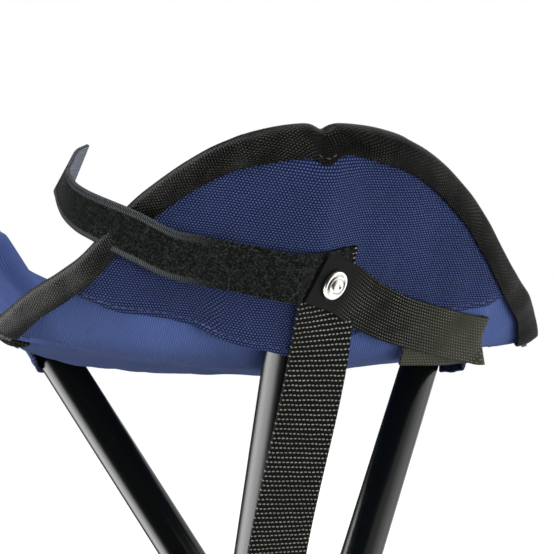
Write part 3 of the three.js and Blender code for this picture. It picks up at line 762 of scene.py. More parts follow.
folds = {  # along the wall of a corner: turn and depth of both ends, width and height of the fold
    "a": [
        ((-25, 0.020), (-21, 0.052), 0.0050, -0.0016),
        ((-36, 0.016), (-33, 0.040), 0.0060, 0.0011),
        ((-13, 0.030), (-12, 0.078), 0.0045, 0.0009),
        ((19, 0.018), (30, 0.050), 0.0065, -0.0012),
        ((34, 0.012), (44, 0.034), 0.0055, 0.0010),
    ],
    "b": [
        ((22, 0.016), (30, 0.050), 0.0060, -0.0014),
        ((-20, 0.024), (-24, 0.060), 0.0070, 0.0014),
        ((38, 0.014), (45, 0.034), 0.0055, 0.0012),
    ],
    "c": [
        ((-24, 0.018), (-30, 0.052), 0.0065, -0.0014),
        ((20, 0.022), (26, 0.060), 0.0060, 0.0012),
        ((40, 0.012), (46, 0.032), 0.0055, -0.0010),
    ],
}


unevenness = (  # height, waves a metre along the rim and down the wall, place in the noise and its step per corner
    (0.0011, 46, 30, 1.3, 5.7),
    (0.0005, 120, 70, 8.2, 3.1),
)


def crumple(letter, turn, depth):  # how far the raised cloth stands off its plain form, outwards
    arc = arcAt(turn)
    awayFromLeg = fadeIn(abs(arc), *clothForm["evenOverLeg"])
    awayFromEnd = 1 - fadeIn(abs(turn), *clothForm["evenAtEnds"])
    height = 0
    for rise, alongRim, downWall, first, step in unevenness:
        place = Vector((arc * alongRim, depth * downWall, step * "abc".index(letter) + first))
        height += rise * noise.noise(place)
    for (turnA, depthA), (turnB, depthB), width, rise in folds[letter]:
        start = Vector((arcAt(turnA), depthA))
        run = Vector((arcAt(turnB), depthB)) - start
        at = Vector((arc, depth)) - start
        share = min(1, max(0, at.dot(run) / run.length_squared))
        height += rise * bell((at - run * share).length, width) * (0.45 + 0.55 * math.sin(math.pi * share))
    return height * awayFromLeg * awayFromEnd


def wallAt(letter, turn, share):
    length = wallLength(letter, turn)
    point = plainWall(letter, turn, share)
    hang = petals[letter]
    side = abs(turn) / halfPetal
    band = 0
    if turn < 0:
        band = hang["roll"] * fadeIn(side, *clothForm["rollFrom"]) * smooth((1 - side) / clothForm["rollEnd"])
    depth = share * length
    if band > 0 and depth < band:
        start = plainWall(letter, turn, band / length)
        up = (plainWall(letter, turn, 0) - plainWall(letter, turn, 1)).normalized()
        out = polar(turn, 1, 0)
        out = (out - up * out.dot(up)).normalized()
        bend, full = clothForm["rollRadius"], clothForm["rollTurn"]
        angle = (band - depth) / bend
        past = max(0, angle - full) * bend
        angle = min(angle, full)
        point = start + up * (bend * math.sin(angle)) + out * (bend * (1 - math.cos(angle)))
        point += (up * math.cos(angle) + out * math.sin(angle)) * past
    return point


def wallNormal(letter, turn, share):
    step = 0.03
    side = wallAt(letter, turn + step, share) - wallAt(letter, turn - step, share)
    down = wallAt(letter, turn, share + step) - wallAt(letter, turn, share - step)
    return down.cross(side).normalized()


def softLarger(first, second):  # the larger length, with the corner between the two rounded over
    return max(first, second) + clothWall * math.log1p(math.exp(-abs(first - second) / clothWall))


def legHold(point, tent):  # how far the leg holds a cloth off its own axis
    away = point - legTip
    radius = stand["tubeRadius"] + clothForm["gap"] + clothForm["ease"] + clothWall / 2
    across = abs(away.x)
    side = math.radians(tent)
    tangent = radius * math.sin(side)
    if across < tangent:
        off = math.sqrt(radius * radius - across * across)
    else:
        off = radius * math.cos(side) - (across - tangent) * math.tan(side) - max(0, across - clothForm["tentReach"])
    below = clothForm["rimRise"] - away.dot(legUp)
    return off * smooth(below / clothForm["domeDepth"]) if off > 0 else off


def seatHeld(letter, point):
    inward = -(point - legTip).dot(legOut)
    return point + legOut * (inward - softLarger(inward, legHold(point, clothForm["seatTents"][letter])))


def crumpled(letter, turn, share):
    depth = share * wallLength(letter, turn)
    return wallNormal(letter, turn, share) * crumple(letter, turn, depth)


def seatAt(letter, turn, share):
    return seatHeld(letter, wallAt(letter, turn, share)) + crumpled(letter, turn, share)


def pocketAt(letter, turn, share):
    point = wallAt(letter, turn, share) + wallNormal(letter, turn, share) * (clothWall + 2 * clothForm["gap"])
    outward = (point - legTip).dot(legOut)
    held = softLarger(outward, legHold(point, clothForm["pocketTent"]))
    return point + legOut * (held - outward) + crumpled(letter, turn, share)


def petalTurns(columns, edge, power=1.15):
    shares = [2 * column / columns - 1 for column in range(columns + 1)]
    return [edge * math.copysign(abs(share) ** power, share) for share in shares]


# Seat cloth

seatCut = {
    "columns": 110, "wallRows": 34, "cornerRows": 12, "floorRows": 30,
    "wallShare": 0.78, "floorShare": 0.22,  # where the rounding of the crease starts and ends
    "meetRise": 0.0147, "meetReach": 0.114, "meetCurve": 1.5,
    "meetFrom": (0.66, 0.34), "meetUpTo": (0.094, 0.018), "sagFrom": 0.03, "sagUpTo": (0.088, 0.02),
    "sags": ((0.0024, 24, 2.6), (0.0009, 70, 6.1)),  # height, waves a metre, place in the noise
}


def commonHeight(reach):  # the line along which two sectors meet
    share = reach / seatCut["meetReach"]
    return -clothForm["middleDrop"] + seatCut["meetRise"] * share ** seatCut["meetCurve"]


def seatLine(letter, turn, index):
    crease = creaseAt(letter, turn)
    centre = (0.0, -clothForm["middleDrop"])
    wallShare = seatCut["wallShare"]
    start = between(rimAt(letter, turn), crease, wallShare)
    finish = between(crease, centre, seatCut["floorShare"])
    side = abs(turn) / halfPetal
    line = [seatAt(letter, turn, wallShare * row / seatCut["wallRows"]) for row in range(seatCut["wallRows"])]
    flat = []
    for row in range(seatCut["cornerRows"]):
        share = row / seatCut["cornerRows"]
        flat.append(between(between(start, crease, share), between(crease, finish, share), share))
    for row in range(seatCut["floorRows"] + 1):
        flat.append(between(finish, centre, row / seatCut["floorRows"]))
    for row, (reach, height) in enumerate(flat):
        share = min(1, wallShare + row * 0.02)
        swell = clothForm["bulge"] * math.sin(math.pi * share) * (1 - side * side)
        shared = fadeIn(side, *seatCut["meetFrom"]) * (1 - fadeIn(reach, *seatCut["meetUpTo"]))
        height += shared * (commonHeight(reach) - height)
        point = polar(turn, reach + swell, height)
        free = smooth(reach / seatCut["sagFrom"]) * (1 - fadeIn(reach, *seatCut["sagUpTo"]))
        world = clothPlace(index) @ point
        sag = 0
        for rise, waves, layer in seatCut["sags"]:
            sag += rise * noise.noise(Vector((world.x * waves, world.y * waves, layer)))
        point = seatHeld(letter, point) + Vector((0, 0, sag * free))
        fade = 1 - smooth(row / 10)
        if fade > 0:
            point += crumpled(letter, turn, wallShare) * fade
        line.append(point)
    return line


def thickened(cloth, index, material, thickness):
    cloth.data.transform(clothPlace(index))
    named(cloth, cloth.name, material)
    applied(cloth, "SOLIDIFY", thickness=thickness, offset=0)
    return cloth


def makeSeat(index):
    letter = "abc"[index]
    turns = petalTurns(seatCut["columns"], halfPetal)
    lines = [seatLine(letter, turn, index) for turn in turns]
    grid = [[line[row] for line in lines] for row in range(len(lines[0]))]
    flat = [[None] * len(turns) for _ in grid]
    for column, turn in enumerate(turns):
        far = 0.0
        for row in range(len(grid) - 1, -1, -1):
            if row < len(grid) - 1:
                far += (grid[row][column] - grid[row + 1][column]).length
            flat[row][column] = (far * math.sin(math.radians(turn)), far * math.cos(math.radians(turn)))
    seat = thickened(clothGrid("seatCloth" + letter.upper(), grid, flat), index, seatCloth, clothWall)
    editAll(seat)
    bpy.ops.mesh.remove_doubles(threshold=2e-5)
    bpy.ops.object.mode_set(mode="OBJECT")
    smoothed(seat, 50)
    return seat


# Pockets

pocketCut = {
    "columns": 96, "rows": 44, "rowCurve": 1.35, "edgeTurn": halfPetal * 0.7,
    "depths": {"a": 0.088, "b": 0.083, "c": 0.080}, "endDepth": 0.005,
    "hem": 0.0055, "hemEdge": 0.0012, "hemRaise": 0.00045,
    "stitchUp": 0.0024, "stitchSink": 0.00035, "stitchWidth": 0.0006,
}


def pocketEnd(letter, turn):
    fall = math.cos(math.pi / 2 * min(1, abs(turn) / pocketCut["edgeTurn"]))
    depth = pocketCut["endDepth"] + (pocketCut["depths"][letter] - pocketCut["endDepth"]) * fall
    return min(1, depth / wallLength(letter, turn))


def hemHeight(up):  # the turned hem stands out, and its stitches draw it in
    raised = pocketCut["hemRaise"] * (1 - fadeIn(up, pocketCut["hem"], pocketCut["hemEdge"]))
    return raised - pocketCut["stitchSink"] * bell(up - pocketCut["stitchUp"], pocketCut["stitchWidth"])


def makePocket(index):
    letter = "abc"[index]
    turns = petalTurns(pocketCut["columns"], pocketCut["edgeTurn"])
    lines = []
    for turn in turns:
        end = pocketEnd(letter, turn)
        length = wallLength(letter, turn)
        line = []
        for row in range(pocketCut["rows"] + 1):
            share = end * (1 - (1 - row / pocketCut["rows"]) ** pocketCut["rowCurve"])
            raised = hemHeight((end - share) * length)
            line.append(pocketAt(letter, turn, share) + wallNormal(letter, turn, share) * raised)
        lines.append(line)
    grid = [[line[row] for line in lines] for row in range(len(lines[0]))]
    weave = [[(point.x - legTip.x, -(point - legTip).dot(legUp)) for point in row] for row in grid]
    pocket = thickened(clothGrid("pocket" + letter.upper(), grid, weave), index, pocketCloth, clothWall)
    smoothed(pocket, 50)
    return pocket


# Binding tape

tapeCut = {
    "columns": 190, "sideRows": 9, "turnShare": 0.985, "angles": (28, 60, 90, 120, 152),
    "width": 0.0090, "thickness": 0.001, "gap": 0.0008, "height": 0.0016, "puff": 0.0011, "puffFrom": 0.12,
    "overLeg": 0.0007, "overLegWidth": 0.004,  # it is wider, flatter and lower over the leg
    "flattened": 0.0010, "flatWidth": 0.0024, "lowWidth": 0.0032,
    "endReach": 0.006, "endPinch": 0.86,
}


def tapeReach(letter, turn):
    width = tapeCut["width"] + tapeCut["overLeg"] * bell(arcAt(turn), tapeCut["overLegWidth"])
    return min(0.97, width / wallLength(letter, turn))


def tapeGrid(letter):
    turns = petalTurns(tapeCut["columns"], halfPetal * tapeCut["turnShare"], 1.1)
    rows = tapeCut["sideRows"]
    off = clothWall / 2 + tapeCut["gap"] + tapeCut["thickness"] / 2
    sides = []
    for at, sign in ((pocketAt, 1), (seatAt, -1)):
        grid = [[at(letter, turn, tapeReach(letter, turn) * row / rows) for turn in turns] for row in range(rows + 1)]

        def distance(row, column, sign=sign):
            start = tapeCut["puffFrom"]
            puff = tapeCut["puff"] * math.sin(math.pi * (start + (1 - start) * row / rows))
            return sign * (off + puff - tapeCut["flattened"] * bell(arcAt(turns[column]), tapeCut["flatWidth"]))

        sides.append(offsetGrid(grid, distance))
    outer, inner = sides
    section = [outer[row] for row in range(rows, -1, -1)]
    for angle in tapeCut["angles"]:
        turned = math.radians(angle)
        line = []
        for column, turn in enumerate(turns):
            near, far = outer[0][column], inner[0][column]
            up = (wallAt(letter, turn, 0) - wallAt(letter, turn, 0.05)).normalized()
            height = tapeCut["height"] - tapeCut["flattened"] * bell(arcAt(turn), tapeCut["lowWidth"])
            line.append((near + far) / 2 + (near - far) / 2 * math.cos(turned) + up * (height * math.sin(turned)))
        section.append(line)
    section += [inner[row] for row in range(rows + 1)]
    count = len(section)
    for column in range(len(turns)):  # both ends of the tape are pressed flat round the cloth
        for end in (0, -1):
            gap = (section[rows + 3][column] - section[rows + 3][end]).length
            if gap > tapeCut["endReach"]:
                continue
            pinch = tapeCut["endPinch"] * (1 - gap / tapeCut["endReach"]) ** 2
            for row in range(count // 2):
                twin = count - 1 - row
                centre = (section[row][column] + section[twin][column]) / 2
                section[row][column] = section[row][column].lerp(centre, pinch)
                section[twin][column] = section[twin][column].lerp(centre, pinch)
    return section


def makeTape(index):
    letter = "abc"[index]
    grid = tapeGrid(letter)
    tape = clothGrid("bindingTape" + letter.upper(), grid, flatByLength(grid))
    thickened(tape, index, binding, tapeCut["thickness"])
    applied(tape, "BEVEL", width=0.0003, segments=2, limit_method="ANGLE", angle_limit=math.radians(50))
    smoothed(tape, 45)
    return tape


# Stitches

stitch = {
    "length": 0.0021, "pitch": 0.0031, "width": 0.00055, "height": 0.00042,
    "hemTurn": pocketCut["edgeTurn"] * 0.94, "hemLift": 0.0001,
    "tapeTurn": halfPetal * 0.955, "tapeLift": 0.00012, "fromEdge": 0.0016,
}
barTack = {  # the close crosswise stitches at both ends of the tape
    "turn": 57.6, "depth": 0.006, "apart": 0.28, "half": 4, "pitch": 0.00062, "size": 1.25, "lift": 0.0001,
}
deselect()
bpy.ops.mesh.primitive_uv_sphere_add(segments=6, ring_count=5, radius=1)
stitchForm = named(bpy.context.object, "stitchForm")
stitchForm.data.transform(Matrix.Rotation(math.radians(90), 4, "Y"))
stitchForm.data.transform(Matrix.Diagonal((stitch["length"] / 2, stitch["width"] / 2, stitch["height"] / 2, 1)))
smoothed(stitchForm, 60)


def stitchRow(line, name, material, pitch=stitch["pitch"], size=1.0, slant=0.0):
    made = []
    spent, wanted = 0.0, pitch / 2
    for (start, normalA), (end, normalB) in zip(line, line[1:]):
        run = (end - start).length
        while run > 0 and wanted <= spent + run:
            share = (wanted - spent) / run
            along = (end - start).normalized()
            out = normalA.lerp(normalB, share).normalized()
            along = (along - out * along.dot(out)).normalized()
            side = out.cross(along)
            turned = Matrix.Rotation(slant, 3, out)
            spin = Matrix((turned @ along, turned @ side, out)).transposed().to_4x4()
            place = Matrix.Translation(start.lerp(end, share)) @ spin @ Matrix.Scale(size, 4)
            made.append(copied(stitchForm, "stitch", place))
            wanted += pitch
        spent += run
    row = joined(made, name)
    row.data.materials.append(material)
    return row


def surfaceLine(at, index, turns, shareAt, lift):  # places and normals, on the cloth's inner side if lift is negative
    letter, place = "abc"[index], clothPlace(index)
    line = []
    for turn in turns:
        share = shareAt(turn)
        side = at(letter, turn + 0.25, share) - at(letter, turn - 0.25, share)
        down = at(letter, turn, share + 0.01) - at(letter, turn, share - 0.01)
        out = down.cross(side).normalized() * math.copysign(1, lift)
        line.append((place @ (at(letter, turn, share) + out * abs(lift)), place.to_3x3() @ out))
    return line


def makeStitches(index):
    letter = "abc"[index]

    def hemShare(turn):
        return max(0.02, pocketEnd(letter, turn) - pocketCut["stitchUp"] / wallLength(letter, turn))

    def tapeShare(turn):
        return tapeReach(letter, turn) - stitch["fromEdge"] / wallLength(letter, turn)

    hemLine = surfaceLine(
        pocketAt, index, petalTurns(120, stitch["hemTurn"]), hemShare, clothWall / 2 + stitch["hemLift"],
    )
    hem = stitchRow(hemLine, "hemStitches" + letter.upper(), blueThread)
    off = clothWall / 2 + tapeCut["gap"] + tapeCut["thickness"] + stitch["tapeLift"]
    rows = []
    for at, side in ((pocketAt, 1), (seatAt, -1)):
        line = surfaceLine(at, index, petalTurns(160, stitch["tapeTurn"]), tapeShare, side * off)
        rows.append(stitchRow(line, "tapeRow", darkThread))
    for turn in (-barTack["turn"], barTack["turn"]):
        share = barTack["depth"] / wallLength(letter, turn)
        spread = [turn + barTack["apart"] * step for step in range(-barTack["half"], barTack["half"] + 1)]
        for at, side in ((pocketAt, 1), (seatAt, -1)):
            line = surfaceLine(at, index, spread, lambda _: share, side * (off + barTack["lift"]))
            rows.append(stitchRow(
                line, "barTack", darkThread, barTack["pitch"], barTack["size"], math.radians(90),
            ))
    return hem, joined(rows, "tapeStitches" + letter.upper())


def follow(piece):  # the cloth's placement is baked into its mesh
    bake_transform(piece)


for index, letter in enumerate("abc"):
    seat, pocket, tape = makeSeat(index), makePocket(index), makeTape(index)
    hem, seam = makeStitches(index)
    for piece in (seat, pocket, tape, hem, seam):
        follow(piece)
    for piece, node in ((seat, "seat_sector_"), (pocket, "pocket_"), (tape, "binding_tape_")):
        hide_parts(node + letter)
    print("cloth corner", letter, "made")


# Straps

def splinePlace(points, share):  # a centripetal curve through all the points
    last = len(points) - 1
    place = share * last
    low = min(int(place), last - 1)
    t = place - low
    a, b = points[low], points[low + 1]
    before = points[low - 1] if low > 0 else 2 * a - b
    after = points[low + 2] if low + 2 <= last else 2 * b - a
    gapA, gap, gapB = [math.sqrt(max(1e-9, (q - p).length)) for p, q in ((before, a), (a, b), (b, after))]
    leave = ((a - before) / gapA - (b - before) / (gapA + gap) + (b - a) / gap) * gap
    arrive = ((b - a) / gap - (after - a) / (gap + gapB) + (after - b) / gapB) * gap
    rise = b - a
    return a + t * (leave + t * (3 * rise - 2 * leave - arrive + t * (leave + arrive - 2 * rise)))


def strapStations(places, turns, steps):  # places along the middle, and the direction across the strap
    last = len(turns) - 1
    line = []
    for step in range(steps + 1):
        share = step / steps
        tangent = (splinePlace(places, min(1, share + 1e-3)) - splinePlace(places, max(0, share - 1e-3))).normalized()
        turn = math.radians(through(list(range(last + 1)), turns, share * last))
        face = Vector((math.sin(turn), -math.cos(turn), 0))
        normal = (face - tangent * face.dot(tangent)).normalized()
        line.append((splinePlace(places, share), tangent.cross(normal)))
    return line


def makeStrap(name, stations, form, columns, *materials):
    grid, flat = [], []
    far, before = 0.0, stations[0][0]
    sides = [(2 * column / columns - 1) * form["width"] / 2 for column in range(columns + 1)]
    for centre, across in stations:
        far += (centre - before).length
        before = centre
        grid.append([centre + across * side for side in sides])
        flat.append([(far, side) for side in sides])
    strap = named(clothGrid(name, grid, flat), name, *materials)
    backs = {"material_offset": 1, "material_offset_rim": 1} if len(materials) > 1 else {}
    thickness = form["thickness"]
    applied(strap, "SOLIDIFY", thickness=thickness, offset=0, **backs)
    applied(strap, "BEVEL", width=thickness * 0.32, segments=3, limit_method="ANGLE", angle_limit=math.radians(60))
    strap.data.transform(legPlace(0))
    smoothed(strap, 45)
    return strap


upper = stand["upper"]
carry = {
    "width": 0.025, "thickness": 0.0014, "top": 0.036, "length": 0.416, "steps": 220,
    "topDistance": 0.0125, "lowDistance": 0.0105, "sag": 0.0085, "turn": 24,  # distances from the leg's axis
    "downs": (0, 0.03, 0.09, 0.14, 0.28, 0.43, 0.58, 0.75, 0.93, 1),
    "turns": (1, 1, 0.92, 0.7, 0.08, 0, 0, 0, 0, 0),
    "faces": (1, 0.9, 0.3, 0.12, 0, 0, 0, 0, 0, 0),
    "sags": (0, 0, 0.3, 0.5, 0.95, 1, 0.75, 0.4, 0, 0),
    "drifts": (0.07, 0.07, 0.06, 0.04, 0, 0, -0.04, -0.04, 0, 0),
}
places = []
for down, turnShare, sagShare, driftShare in zip(carry["downs"], carry["turns"], carry["sags"], carry["drifts"]):
    distance = carry["topDistance"] + (carry["lowDistance"] - carry["topDistance"]) * down + carry["sag"] * sagShare
    turn = math.radians(carry["turn"] * turnShare)
    drift = carry["width"] * driftShare
    places.append(Vector((
        distance * math.sin(turn) + drift * math.cos(turn),
        drift * math.sin(turn) - distance * math.cos(turn),
        upper - carry["top"] - carry["length"] * down,
    )))
faces = [carry["turn"] * share for share in carry["faces"]]
carryStrap = makeStrap("carryStrap", strapStations(places, faces, carry["steps"]), carry, 10, carryWebbing)
for loop in carryStrap.data.loops:  # the rows of dots run across the strap
    uv = carryStrap.data.uv_layers.active.data[loop.index].uv
    uv.x, uv.y = uv.y, uv.x
onBody(carryStrap, "leg_a", "carry_strap")

rivetDepth = 0.047
loopPath = {  # both edges: right of the leg, down from the rivet and out from the leg's axis
    "width": 0.019, "thickness": 0.0015, "steps": 210,
    "lower": (
        (15.3, 6.9, 8.9), (5.4, 7.0, 13.3), (-4.4, 5.9, 17.7), (-9.3, 5.3, 19.6), (-16.2, 4.6, 18.3),
        (-25.7, 4.2, 13.5), (-34.5, 4.7, 8.4), (-42.1, 5.3, 3.0), (-50.9, 5.6, -3.2), (-63.7, 1.6, -9.9),
        (-76.2, -0.9, -22.8), (-79.6, -1.4, -27.5), (-82.1, -2.2, -32.8), (-83.5, -3.0, -37.5), (-84.4, -4.5, -43.5),
        (-84.7, -6.1, -48.2), (-84.4, -7.0, -53.5), (-77.2, -5.4, -60.3),
    ),
    "upper": (
        (15.1, -12.1, 9.0), (6.2, -12.0, 12.9), (-2.6, -12.9, 16.9), (-7.1, -13.5, 19.0), (-14.8, -14.4, 18.5),
        (-25.9, -14.8, 13.5), (-35.5, -14.3, 8.0), (-42.9, -13.7, 2.6), (-49.7, -13.4, -2.6), (-62.0, -17.2, -10.2),
        (-74.2, -19.4, -18.9), (-78.2, -19.8, -23.4), (-81.2, -20.4, -27.9), (-82.6, -21.1, -32.3),
        (-83.0, -22.2, -37.0), (-81.3, -23.5, -41.3), (-77.6, -24.6, -51.0), (-71.5, -23.4, -61.3),
    ),
}
hookPath = {  # the middle line, and the turn of the face
    "width": 0.020, "thickness": 0.0015, "steps": 210,
    "stations": (
        (-1.2, -4.3, 18.25, 24), (6.5, 0, 14.8, 24), (13.8, 4.1, 11.55, 24), (23.3, 11.4, 8.6, 12),
        (38.6, 19.4, 6.9, 4), (51.1, 24.2, 4.9, 2), (60.6, 27.3, 4, 3), (72.4, 31, 2.6, 5),
        (79.0, 32.7, 1.9, 14), (81.4, 33.8, 0.2, 90), (79.8, 35, -1.9, 170), (74.4, 35, -1.5, 178),
        (67.2, 35, -0.6, 180), (57.3, 34.5, -0.3, 180), (48.2, 33.9, 0.3, 180),
    ),
}


def closingPlaces(stations):
    return [Vector((right, -out, (upper - rivetDepth) * 1000 - down)) / 1000 for right, down, out, *_ in stations]


def edgeStations(lower, upper, width, steps):
    line = []
    for step in range(steps + 1):
        low, high = splinePlace(lower, step / steps), splinePlace(upper, step / steps)
        line.append(((low + high) / 2, (high - low) / width))
    return line


edges = edgeStations(
    closingPlaces(loopPath["lower"]), closingPlaces(loopPath["upper"]), loopPath["width"], loopPath["steps"],
)
loopStrap = makeStrap("loopStrap", edges, loopPath, 12, strapBack, loopPile)
faces = [station[3] for station in hookPath["stations"]]
middles = strapStations(closingPlaces(hookPath["stations"]), faces, hookPath["steps"])
hookStrap = makeStrap("hookStrap", middles, hookPath, 12, hookWebbing)
onBody(loopStrap, "leg_a", "loop_strap")
onBody(hookStrap, "leg_a", "hook_strap")
print("straps made")


# Rivets

rivetForm = {  # seats are distances from the leg's axis, the profiles are in millimetres from the seat
    "headSeat": 0.0171, "lowSeat": 0.0115, "grip": 0.0055, "turn": 24, "lowDepth": 0.443, "shank": 2,
    "washer": (
        (2.35, 0), (5.35, 0), (5.7, 0.25), (5.72, 0.8), (5.62, 1.35), (5.35, 1.72), (4.95, 1.82), (4.55, 1.66),
        (4.2, 1.3), (3.8, 1.02), (3.4, 0.92), (2.35, 0.9), (2.35, 0),
    ),
    "head": (
        (2, 1.2), (3.05, 1.2), (3.2, 1.36), (3.2, 1.7), (3.05, 2.3), (2.7, 2.75), (2.2, 3.05),
        (1.7, 3.18), (1.3, 3.16), (1.0, 2.98), (0.78, 2.65), (0.5, 2.42), (0, 2.35),
    ),
}


def onLegSide(depth, turn, seat):
    return (legPlace(0) @ Matrix.Translation((0, 0, upper - depth)) @ Matrix.Rotation(math.radians(turn), 4, "Z")
            @ Matrix.Rotation(math.radians(90), 4, "X") @ Matrix.Translation((0, 0, seat)))


for label, seat, depth, turn in (
    ("strap", rivetForm["headSeat"], rivetDepth, rivetForm["turn"]),
    ("lower", rivetForm["lowSeat"], rivetForm["lowDepth"], 0),
):
    inner = (rivetForm["grip"] - seat) * 1000
    shank = ((0, inner), (rivetForm["shank"], inner))
    washer = turnedPiece(label + "WasherDish", inMillimetres(rivetForm["washer"]), 64)
    rivet = turnedPiece(label + "RivetHead", inMillimetres(shank + rivetForm["head"]), 56)
    for piece, node in ((washer, label + "_washer"), (rivet, label + "_rivet")):
        piece.data.transform(onLegSide(depth, turn, seat))
        named(piece, piece.name, brightNickel)
        smoothed(piece, 50)
        onBody(piece, "leg_a", node)
print("rivets made")


# Legs

# Profiles are in millimetres from the leg's pivot.

tubeForm = {"wall": 0.0012, "footRise": 0.0105, "top": 0.2677, "lip": 0.0004, "sides": 72, "bore": (5.6, 20)}


def makeTube():
    low, high, lip = tubeForm["footRise"] - stand["lower"], tubeForm["top"], tubeForm["lip"]
    outer, inner = stand["tubeRadius"], stand["tubeRadius"] - tubeForm["wall"]
    tube = turnedPiece("legTube", [
        (inner, low), (outer - lip, low), (outer, low + lip), (outer, high - lip), (outer - lip, high),
        (inner, high), (inner, low),
    ], tubeForm["sides"])
    radius, reach = tubeForm["bore"]
    bore = turnedPiece("bore", inMillimetres(((0, -reach), (radius, -reach), (radius, reach), (0, reach))), 40)
    bore.data.transform(Matrix.Rotation(math.radians(90), 4, "Y"))
    shapedWith(tube, "DIFFERENCE", bore)
    return tube


capForm = (
    (0, 254), (7.3, 254), (7.9, 256), (7.9, 268), (9.3, 268), (9.3, 268.6), (8.9, 270), (8.1, 271.6),
    (6.9, 273.2), (5.2, 274.6), (3.0, 275.6), (1.2, 275.95), (0, 276),
)
footForm = {
    "sole": ((0, -236), (12.0, -236), (12.5, -235.4), (12.5, -214.4), (12.1, -213.9), (12.1, -212.9), (12.5, -212.4)),
    "collar": (
        (12.5, -211.4), (11.7, -210.4), (11.6, -207.2), (11.9, -206.7), (11.9, -205.5), (11.6, -205.0),
        (11.6, -202.2), (11.9, -201.7), (11.9, -200.3), (11.3, -199.3), (10.5, -199.0), (9.8, -199.4),
    ),
    "socket": ((9.8, -218.8), (0, -218.8)),
}


def makeFoot():
    foot = turnedPiece("foot", inMillimetres(footForm["sole"] + footForm["collar"] + footForm["socket"]), 64)
    editAll(foot)  # cut off level with the floor
    bpy.ops.mesh.bisect(
        plane_co=(0, 0, -stand["lower"]), plane_no=(0, math.sin(tilt), math.cos(tilt)),
        use_fill=True, clear_inner=True, clear_outer=False,
    )
    bpy.ops.object.mode_set(mode="OBJECT")
    applied(foot, "BEVEL", width=0.0005, segments=2, limit_method="ANGLE", angle_limit=math.radians(60))
    facedOut(foot)
    return foot


sleeveForm = ((4.3, -10.3), (5.0, -10.3), (5.3, -10.0), (5.3, 10.0), (5.0, 10.3), (4.3, 10.3), (4.3, -10.3))
washerForm = ((4.3, 10.6), (8.2, 10.6), (8.5, 10.9), (8.5, 11.7), (8.2, 12.0), (4.3, 12.0), (4.3, 10.6))
nutForm = {
    "halfAcross": 0.0065, "height": 0.006, "middle": 0.0153,
    "corners": (
        (0, 11), (6.3, 11), (6.3, 12.3), (7.05, 12.65), (7.6, 13.0), (7.6, 17.4), (6.9, 17.9), (6.2, 18.3),
        (6.2, 19), (0, 19),
    ),
    "dome": (
        (0, 17.5), (5.6, 17.5), (5.85, 18.3), (5.75, 19.2), (5.3, 20.3), (4.5, 21.2), (3.3, 21.9), (1.8, 22.2),
        (0, 22.3),
    ),
    "thread": ((0, 10), (4.3, 10), (4.3, 18.6), (0, 18.6)),
}


def makeNut():
    deselect()
    bpy.ops.mesh.primitive_cylinder_add(
        vertices=6, radius=nutForm["halfAcross"] / math.cos(math.radians(30)), depth=nutForm["height"],
        location=(0, 0, 0),
    )
    nut = named(bpy.context.object, "capNut")
    nut.data.transform(Matrix.Translation((0, 0, nutForm["middle"])))
    for part, operation, sides in (("corners", "INTERSECT", 48), ("dome", "UNION", 48), ("thread", "DIFFERENCE", 40)):
        shapedWith(nut, operation, turnedPiece(part, inMillimetres(nutForm[part]), sides))
    return nut


towardsNut = Matrix.Rotation(math.radians(-90), 4, "Y")  # the arm runs along -X from the leg's axis


def alongArm(piece):
    piece.data.transform(towardsNut)
    return piece


tipCap = turnedPiece("tipCap", inMillimetres(capForm))
sleeve = alongArm(turnedPiece("pivotSleeve", inMillimetres(sleeveForm)))
legWasher = alongArm(turnedPiece("legWasher", inMillimetres(washerForm)))
for label, model, node, material, slot in (
    ("legTube", makeTube(), "leg_tube", blackEnamel, "black_enamel"),
    ("tipCap", tipCap, "tip_cap", blackPlastic, "black_plastic"),
    ("foot", makeFoot(), "foot", footRubber, "foot_rubber"),
    ("pivotSleeve", sleeve, "pivot_sleeve", blackPlastic, "black_plastic"),
    ("legWasher", legWasher, "leg_washer", platedSteel, "plated_steel"),
    ("capNut", alongArm(makeNut()), "cap_nut", platedSteel, "plated_steel"),
):
    model.data.materials.clear()
    model.data.materials.append(material)
    smoothed(model, 32)
    for index, letter in enumerate("abc"):
        piece = copied(model, label + letter.upper(), legPlace(index))
        onBody(piece, "leg_" + letter, node + "_" + letter)
    bpy.data.objects.remove(model)
bpy.data.objects.remove(stitchForm)
print("legs made")


# Hub

hubForm = {
    "core": ((0, -9), (7.4, -9), (8.2, -8.4), (8.5, -7.8), (8.5, 7.8), (8.2, 8.4), (7.4, 9), (0, 9)),
    "arm": ((0, 0), (7, 0), (7, 8.9), (6.4, 10.0), (4, 10.0), (4, 38.2), (3.4, 38.9), (0, 38.9)),
}
core = turnedPiece("hubCore", inMillimetres(hubForm["core"]), 56)
for index in range(3):
    arm = turnedPiece("hubArm", inMillimetres(hubForm["arm"]), 40)
    arm.data.transform(Matrix.Rotation(math.radians(-120 * index), 4, "Z") @ towardsNut)
    shapedWith(core, "UNION", arm)
core.data.transform(Matrix.Translation((middle.x, middle.y, hubHeight)))
named(core, "hubCore", platedSteel)
smoothed(core, 32)
onBody(core, "hub", "hub_arms")
print("hub made")


# Floor and surroundings

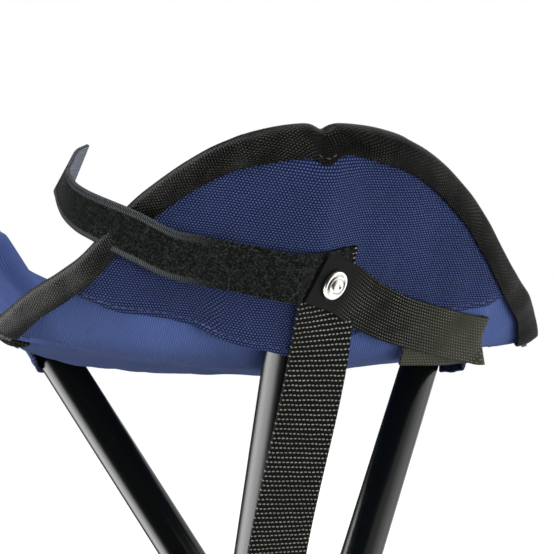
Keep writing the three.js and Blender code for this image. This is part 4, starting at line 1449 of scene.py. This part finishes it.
floorFinish = {"dark": (0.11, 0.11, 0.11, 1), "light": (0.12, 0.12, 0.12, 1), "glow": 0.95}
floorMaterial, floorTree, floorPlace = newMaterial("floor", "Object", 0.9, Emission_Color=(1, 1, 1, 1))
floorTone = useGroup(floorTree, marksGroup, floorPlace, Scale=2.0)["Tone"]
floorColour = mixColour(floorTree, floorTone, floorFinish["dark"], floorFinish["light"])
floorSeen = floorTree.nodes.new("ShaderNodeLightPath").outputs["Is Camera Ray"]
floorShader = floorTree.nodes["Principled BSDF"]
floorTree.links.new(floorColour, floorShader.inputs["Base Color"])
floorTree.links.new(product(floorTree, floorSeen, floorFinish["glow"]), floorShader.inputs["Emission Strength"])
deselect()
bpy.ops.mesh.primitive_plane_add(size=14, location=(0, 0, 0))
floor = named(bpy.context.object, "floor", floorMaterial)
floor.visible_glossy = False

surroundings = {
    "backdrop": (1, 1, 1, 1), "behindViewer": (0.05, 0.05, 0.05, 1), "ahead": (0.30, 0.305, 0.31, 1),
    "darkFrom": (-0.95, 0.1), "inDegrees": 57.296, "mirrored": (0.8, 0.8, 0.8, 1), "mirroredDark": 0.07,
    "front": (-0.323, -0.946), "left": (-0.946, 0.323),  # where the panels' turns are counted from
}
panels = {  # what the enamel mirrors, by its turn to the left of the front: from, full, fading, gone, strength
    "window": (56, 80, 104, 140, 13.0),
    "doorway": (-130, -104, -80, -54, 2.2),
    "wall": (-184, -176, -34, -22, 1.1),
}
world = bpy.context.scene.world or bpy.data.worlds.new("studio")
bpy.context.scene.world = world
world.use_nodes = True
sky = world.node_tree
sky.nodes.clear()
direction = axesOf(sky, coordinates(sky, "Generated"))
rays = sky.nodes.new("ShaderNodeLightPath").outputs


def background(colour, strength=1.0):
    node = sky.nodes.new("ShaderNodeBackground")
    feed(sky, node.inputs["Color"], colour)
    feed(sky, node.inputs["Strength"], strength)
    return node.outputs[0]


def shownTo(ray, others, shown):
    node = sky.nodes.new("ShaderNodeMixShader")
    for socket, output in zip(node.inputs, (rays[ray], others, shown)):
        sky.links.new(output, socket)
    return node.outputs[0]


def towards(x, y):
    return calc(sky, "ADD", product(sky, direction["X"], x), product(sky, direction["Y"], y))


front = ramp(sky, direction["Y"], *surroundings["darkFrom"])  # the room is darker behind the viewer
soft = background(mixColour(sky, front, surroundings["behindViewer"], surroundings["ahead"]))
aside = calc(sky, "ARCTAN2", towards(*surroundings["left"]), towards(*surroundings["front"]))
degrees = product(sky, aside, surroundings["inDegrees"])
bright = surroundings["mirroredDark"]
for rise, full, fading, gone, strength in panels.values():
    inside = product(sky, ramp(sky, degrees, rise, full), ramp(sky, degrees, gone, fading))
    bright = calc(sky, "MULTIPLY_ADD", inside, strength, bright)
glossy = shownTo("Is Glossy Ray", soft, background(surroundings["mirrored"], bright))
chosen = shownTo("Is Camera Ray", glossy, background(surroundings["backdrop"]))
sky.links.new(chosen, sky.nodes.new("ShaderNodeOutputWorld").inputs["Surface"])
deselect()
